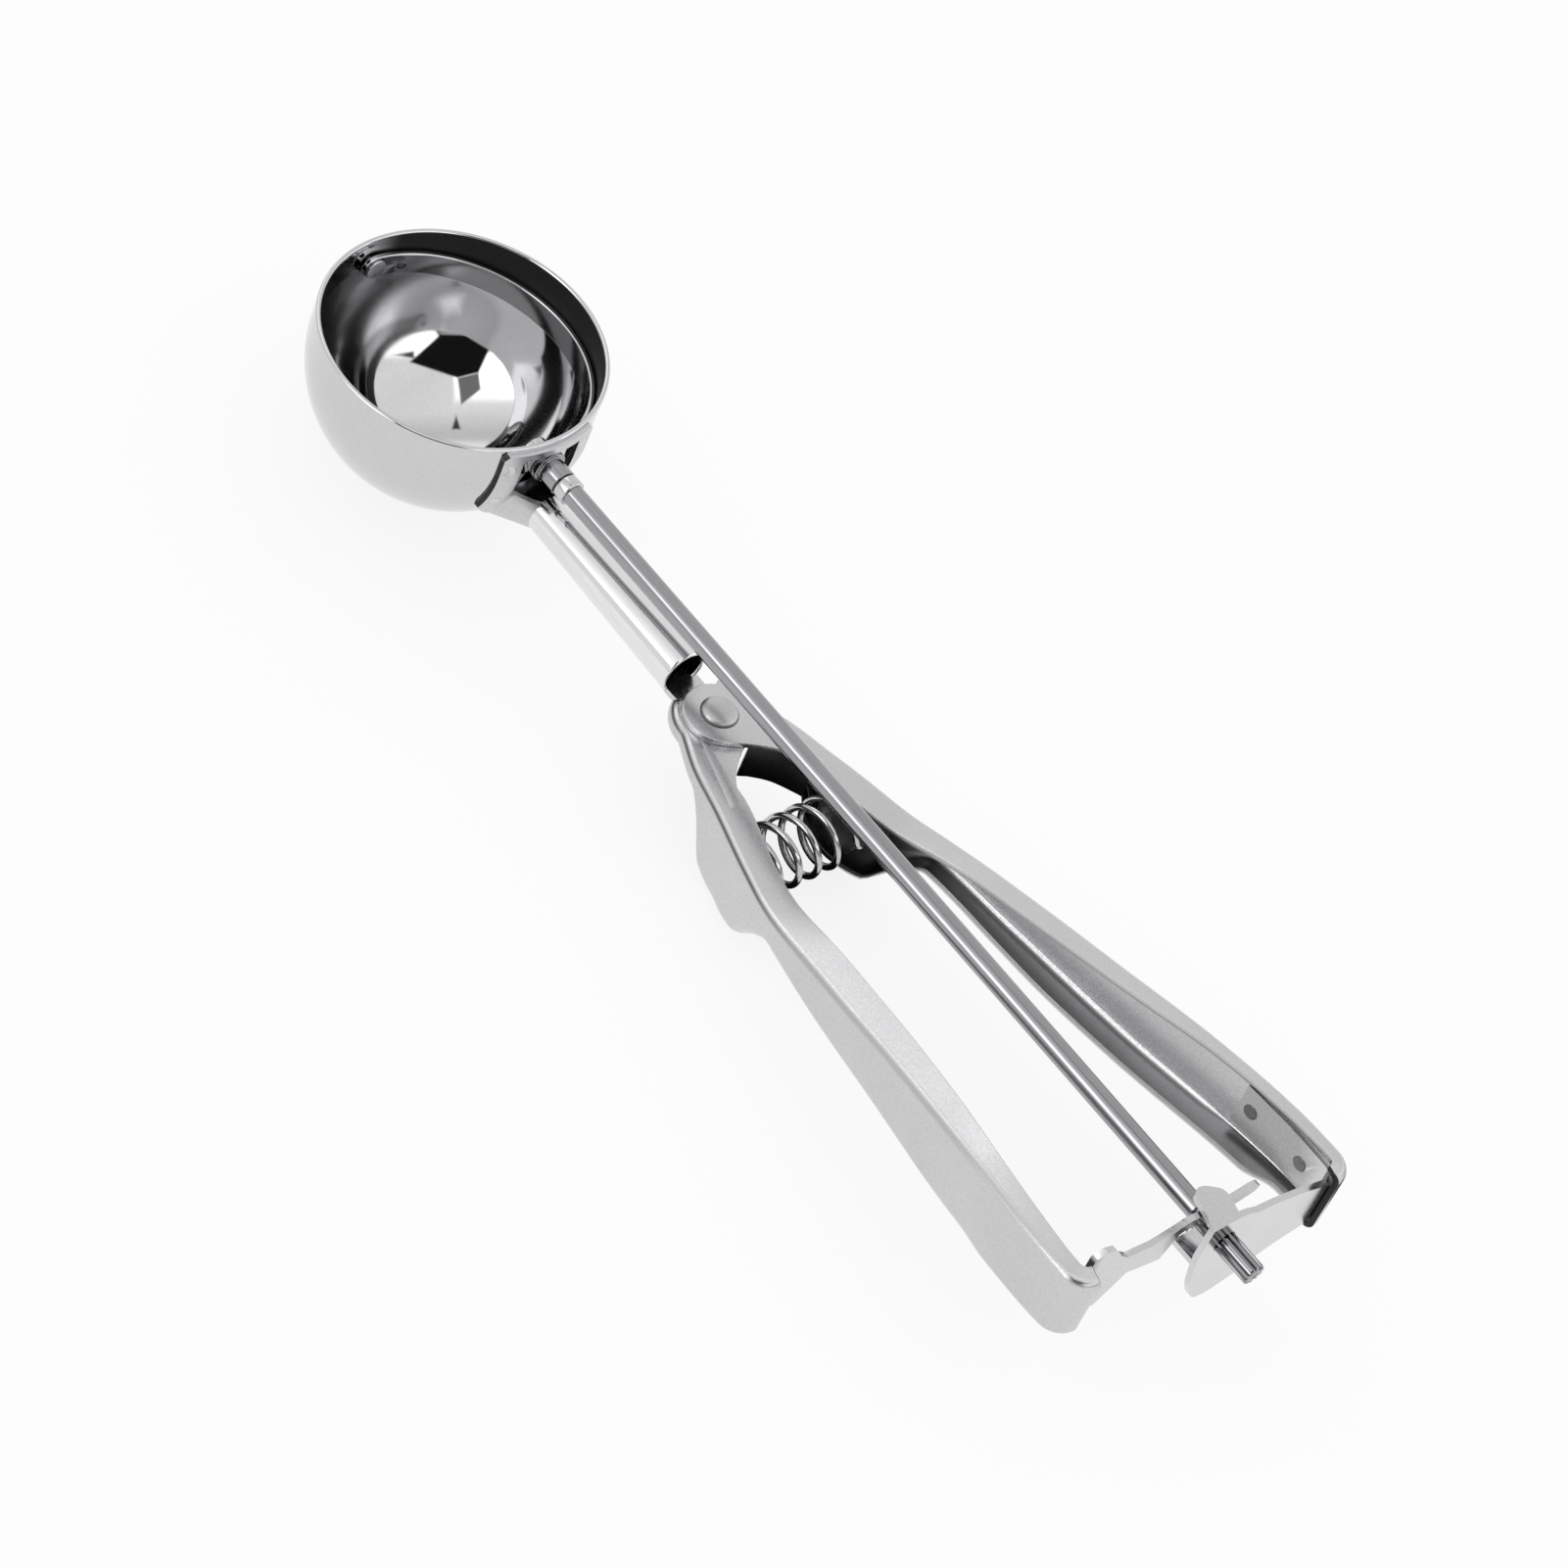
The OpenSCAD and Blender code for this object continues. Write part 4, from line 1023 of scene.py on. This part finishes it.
# the tabs of bracket and rack lie inside the channels, in shade, and that shade is painted on them
for obj, side in ((bracket, 1.0), (rack, -1.0)):
    places = work_places(obj)
    on_tab = (side * places[:, 1] > TAB_INNER_SIDE) & (places[:, 0] < PIVOT + RACK_RADIUS - 1.5)
    set_shade(obj, 1.0 * on_tab)
darken_cut_edge(saddle, SADDLE_RADIUS, black_edge)
saddle.modifiers["edge"].material = 0
for name, node, width, slot, material in (
        ("spindle_bearing", "spindle_bushing", 0.1, "dull_steel", rod_steel),
        ("scraper_hub", "blade_hub", 0.15, "dull_steel", mirror_steel),
        ("front_pin_head", "front_pin", 0.2, "polished_steel", plate_steel),
        ("spring_cup_fixed", "fixed_spring_seat", 0.25, "dull_steel", dull_steel),
        ("spring_cup_moving", "moving_spring_seat", 0.25, "dull_steel", dull_steel)):
    softened_copy(name, node, width, material)

# %% [markdown]
# ## Spot welds
#
# A spot weld leaves a small round dint with a dull, slightly darker rim where the tip of the welding gun
# pressed. Each one is a tiny turned button with a dished middle, a little proud of the sheet.

# %% Welds on the two tabs and on the saddle


def button(radius, proud, place, outward):
    """A dished disc: flat rim at `proud`, dipping by 0.07 in the middle, its axis along `outward`."""
    profile = [(radius, -0.4), (radius, proud - 0.06), (radius - 0.08, proud), (0.72 * radius, proud),
               (0.45 * radius, proud - 0.05), (0.15 * radius, proud - 0.07)]
    rings = turned(profile, "z", 36)
    z = np.asarray(outward, float) / np.linalg.norm(outward)
    x = np.cross([0.0, 0.3, 1.0], z)
    x /= np.linalg.norm(x)
    frame_of = np.stack([x, np.cross(z, x), z])
    pole = np.array([0, 0, proud - 0.075]) @ frame_of + place
    return ringed(rings @ frame_of + place, end=pole)


TAB_START = RACK_RADIUS - 15.0


def tab_spot(x, side):
    """A dint on the tab inside a handle. The tab's face lies two sheets and 0.05 mm in from the web's outer
    line: place = (x, width(x)) + (2 sheet + 0.05) * inward normal."""
    normal = np.array([width_slope(x), -1.0]) / math.hypot(width_slope(x), 1.0)
    place = np.array([x, along(WIDTH, x)]) + (2 * SHEET + 0.05) * normal
    spot = np.array([PIVOT + place[0], side * place[1], -5.0])
    return button(1.2, 0.08, spot, [normal[0], side * normal[1], 0.0])


for side, name, node, body, second in ((1.0, "weld_dints_bracket", "bracket_welds", "frame", 12.4),
                                       (-1.0, "weld_dints_rack", "rack_welds", "lever", 9.4)):
    spots = [tab_spot(TAB_START + x, side) for x in (2.2, second)]
    piece(name, spots, body, weld_steel, stands_for=[node])

saddle_spots = []
for side in (-1.0, 1.0):
    for tilt in (-3.0, 16.0):
        spin, lean = math.radians(side * 17.6), math.radians(tilt)
        out = np.array([math.cos(spin) * math.cos(lean), math.sin(spin), -math.cos(spin) * math.sin(lean)])
        saddle_spots.append(button(0.9, 0.02, out * SADDLE_RADIUS, out))
piece("weld_dints_saddle", saddle_spots, "frame", mirror_steel, stands_for=["saddle_welds"])

# %% [markdown]
# ## Studio
#
# A polished tool shows its surroundings more than itself, so the studio is part of the finish. The picture
# has a white ground, and its reflections show soft panels round the lens. The floor is a pale plane that
# keeps a faint shadow of the tool. To the camera and to reflections it is lifted to white by Light Path,
# never by a stronger lamp. Two small black cards, seen in reflections only, are painted shade: they stand
# in for shaded floor near the tool and give the steel its dark lines.

# %% Floor and cards
FLOOR_HALF = 4.0
LIFT_TO_WHITE = 0.82
CARD_HEIGHT = -21.95


def plain_paint(name, grey, roughness, shine):
    """One even grey, with its roughness and the strength of its shine."""
    material = bpy.data.materials.new(name)
    material.use_nodes = True
    shader = material.node_tree.nodes["Principled BSDF"]
    shader.inputs["Base Color"].default_value = (grey, grey, grey, 1.0)
    shader.inputs["Roughness"].default_value = roughness
    shader.inputs["Specular IOR Level"].default_value = shine
    return material


def level_sheet(name, low, high, material):
    """A level rectangle from corner (x0, y0, z) to corner (x1, y1), in metres, that belongs to the studio."""
    x, y = (low[0], high[0]), (low[1], high[1])
    mesh = bpy.data.meshes.new(name)
    mesh.from_pydata([(x[i], y[j], low[2]) for i, j in ((0, 0), (1, 0), (1, 1), (0, 1))], [], [(0, 1, 2, 3)])
    sheet = object_of(mesh, material)
    sheet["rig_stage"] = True
    print(name, "lies from", np.round(low, 3), "to", np.round(high, 3))
    return sheet


paper = plain_paint("paper floor", 0.93, 0.9, 0.1)
tree = paper.node_tree
white = add_node(tree, "ShaderNodeEmission", Color=(1.0, 1.0, 1.0, 1.0), Strength=1.0)
ray = add_node(tree, "ShaderNodeLightPath")
seen = ray.outputs["Is Camera Ray"]
for label in ("Is Glossy Ray", "Is Transmission Ray"):
    seen = maths(tree, "MAXIMUM", seen, ray.outputs[label])
lift = map_range(tree, seen, 0.0, 1.0, 0.0, LIFT_TO_WHITE)
lifted = add_node(tree, "ShaderNodeMixShader", {
    "Fac": lift, 1: tree.nodes["Principled BSDF"].outputs["BSDF"], 2: white.outputs["Emission"]})
tree.links.new(lifted.outputs["Shader"], tree.nodes["Material Output"].inputs["Surface"])
level_sheet("floor", (-FLOOR_HALF, -FLOOR_HALF, 0.0), (FLOOR_HALF, FLOOR_HALF, 0.0), paper)

painted_shade_card = plain_paint("black card", 0.01, 1.0, 0.0)
# painted shade: black sheets seen only in reflections stand in for shaded floor under the spring and beyond
# the handle's end
for name, low, high in (("card_under_spring", (PIVOT + 6, -9), (PIVOT + 30, 9)),
                        ("card_at_end", (140, 38), (200, 70))):
    card = level_sheet(name, placed([*low, CARD_HEIGHT]), placed([*high, CARD_HEIGHT]), painted_shade_card)
    card.visible_camera = card.visible_diffuse = card.visible_shadow = False

# %% [markdown]
# ### The tent round the lens
#
# What a mirror shows to the lens depends only on the direction half way between the lens and the light. So
# the tent is drawn in those half-way coordinates, in which the round bowl shows it undistorted. Soft
# panels in a few greys fill the sectors round the lens, and a star-shaped gap with straight edges stays
# black between them.

# %% Directions as the bowl shows them
world = bpy.data.worlds.new("tent")
bpy.context.scene.world = world
world.use_nodes = True
tree = world.node_tree
tree.nodes.clear()
to_lens = Vector(CAMERA_PLACE) - Vector(placed([0, 0, 0]))
to_lens.normalize()
tent_right = (right - right.dot(to_lens) * to_lens).normalized()
tent_up = to_lens.cross(tent_right)
VECTOR = "ShaderNodeVectorMath"
direction = add_node(tree, "ShaderNodeTexCoord").outputs["Generated"]
half_way = maths(tree, "ADD", direction, to_lens, VECTOR, "Vector")
half_way = add_node(tree, VECTOR, {0: half_way}, operation="NORMALIZE").outputs["Vector"]
across, above = (maths(tree, "DOT_PRODUCT", half_way, way, VECTOR) for way in (tent_right, tent_up))
flat = add_node(tree, "ShaderNodeCombineXYZ", {0: across, 1: above}, Z=1.0).outputs["Vector"]
print("the lens is seen from the bowl along", tuple(round(v, 3) for v in to_lens))

# %% [markdown]
# ### Panels and gaps
#
# A ramp of greys round the centre gives the soft sectors, and a second one holds them down towards the
# top. The gaps and hard-edged panels between them are patches with straight sides, painted one over
# another. Each patch is placed by its corners, so the whole tent is a short list that is easy to try out.
# A painted picture of a studio would work as well, but it would be one more file.

# %% Panels painted on the tent
PANEL_LIGHT = 2.35


def greys(source, stops):
    """A ramp of greys over a value from 0 to 1, given as (place, grey) stops."""
    ramp = add_node(tree, "ShaderNodeValToRGB", {"Fac": source})
    elements = ramp.color_ramp.elements
    for k, (place, grey) in enumerate(stops):
        element = elements[k] if k < 2 else elements.new(place)
        element.position = place
        element.color = (grey, grey, grey, 1.0)
    return ramp.outputs["Color"]


def painted_over(value, corners, tone, soft):
    """Puts a convex patch with straight edges over a value. The distance inside an edge from p to q is
    ((x - px) dy - (y - py) dx) / length, the patch is where the least of them is above 0, and corners run
    clockwise."""
    least = None
    for (px, py), (qx, qy) in zip(corners, corners[1:] + corners[:1]):
        dx, dy = qx - px, qy - py
        length = math.hypot(dx, dy)
        line_of = (dy / length, -dx / length, (py * dx - px * dy) / length)
        edge = maths(tree, "DOT_PRODUCT", flat, line_of, VECTOR)
        least = maths(tree, "MINIMUM", least, edge) if least else edge
    inside_it = map_range(tree, least, -soft, soft, 0.0, 1.0)
    blend = add_node(tree, "ShaderNodeMix", {"Factor": inside_it, "A": value}, data_type="FLOAT", B=tone)
    return blend.outputs["Result"]


TENT_CENTRE = (0.03, -0.02, 0.0)
moved = maths(tree, "SUBTRACT", flat, TENT_CENTRE, VECTOR, "Vector")
sector = add_node(tree, "ShaderNodeTexGradient", {"Vector": moved}, gradient_type="RADIAL")
panels = greys(sector.outputs["Fac"], [
    (0.0, 0.92), (0.015, 0.9), (0.035, 0.25), (0.1, 0.3), (0.2, 0.24), (0.31, 0.2), (0.326, 0.05),
    (0.345, 0.85), (0.42, 0.95), (0.49, 0.85), (0.505, 0.5), (0.518, 0.46), (0.6, 0.43), (0.75, 0.46),
    (0.762, 0.6), (0.775, 0.9), (0.9, 1.0), (1.0, 0.92)])
lower = greys(above, [(0.0, 1.0), (0.2, 1.0), (0.3, 0.5), (0.5, 0.34), (1.0, 0.42)])
tent = maths(tree, "MINIMUM", panels, lower)
SOFT = 0.008
PATCHES = {
    "grey side wall": ([(-0.44, -0.25), (-0.72, -0.25), (-0.72, 0.5), (-0.45, 0.5)], 0.35, SOFT),
    "white line of the rod": ([(-0.3, 0.0), (-0.44, 0.0), (-0.44, 0.26), (-0.3, 0.26)], 1.35, SOFT),
    "glow on the far flange": ([(0.05, 0.6), (-0.18, 0.6), (-0.18, 0.76), (0.05, 0.76)], 0.8, 0.06),
    "dark frame": ([(0.64, -0.1), (0.72, -0.3), (0.35, -0.64), (0.06, -0.64), (0.1, -0.31)], 0.04, SOFT),
    "panel in the frame": ([(0.62, -0.12), (0.7, -0.3), (0.35, -0.62), (0.08, -0.62), (0.12, -0.33)], 0.3,
                           SOFT),
    "black star": ([(0.319, 0.01), (0.107, -0.18), (-0.064, -0.177), (-0.23, -0.075), (-0.156, 0.084),
                    (-0.01, 0.12)], 0.004, SOFT),
    "grey arm of the star": ([(-0.01, 0.12), (-0.156, 0.084), (-0.171, 0.2), (-0.035, 0.305)], 0.1, SOFT),
    "small gap": ([(0.0, 0.38), (-0.03, 0.475), (0.03, 0.475)], 0.03, SOFT),
    "small gap at the side": ([(0.43, -0.04), (0.29, -0.065), (0.29, -0.015)], 0.03, SOFT),
}
for corners, tone, soft in PATCHES.values():
    tent = painted_over(tent, corners, tone, soft)
print(len(PATCHES), "patches painted on the tent")
glossy = add_node(tree, "ShaderNodeBackground", {"Color": tent}, Strength=PANEL_LIGHT).outputs["Background"]
even = add_node(tree, "ShaderNodeBackground", Color=(1.0, 1.0, 1.0, 1.0), Strength=1.0).outputs["Background"]
ray = add_node(tree, "ShaderNodeLightPath")
chosen = add_node(tree, "ShaderNodeMixShader", {"Fac": ray.outputs["Is Glossy Ray"], 1: even, 2: glossy})
add_node(tree, "ShaderNodeOutputWorld", {"Surface": chosen.outputs["Shader"]})
bpy.context.scene.view_settings.view_transform = "Standard"

# %% [markdown]
# ## Dressed box
#
# The dressed tool must be the same size as the CAD model; its box is printed below.

# %% Sizes and finish
low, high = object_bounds()
print("dressed box in mm:", [round(1000 * v, 2) for v in (*low, *high)])
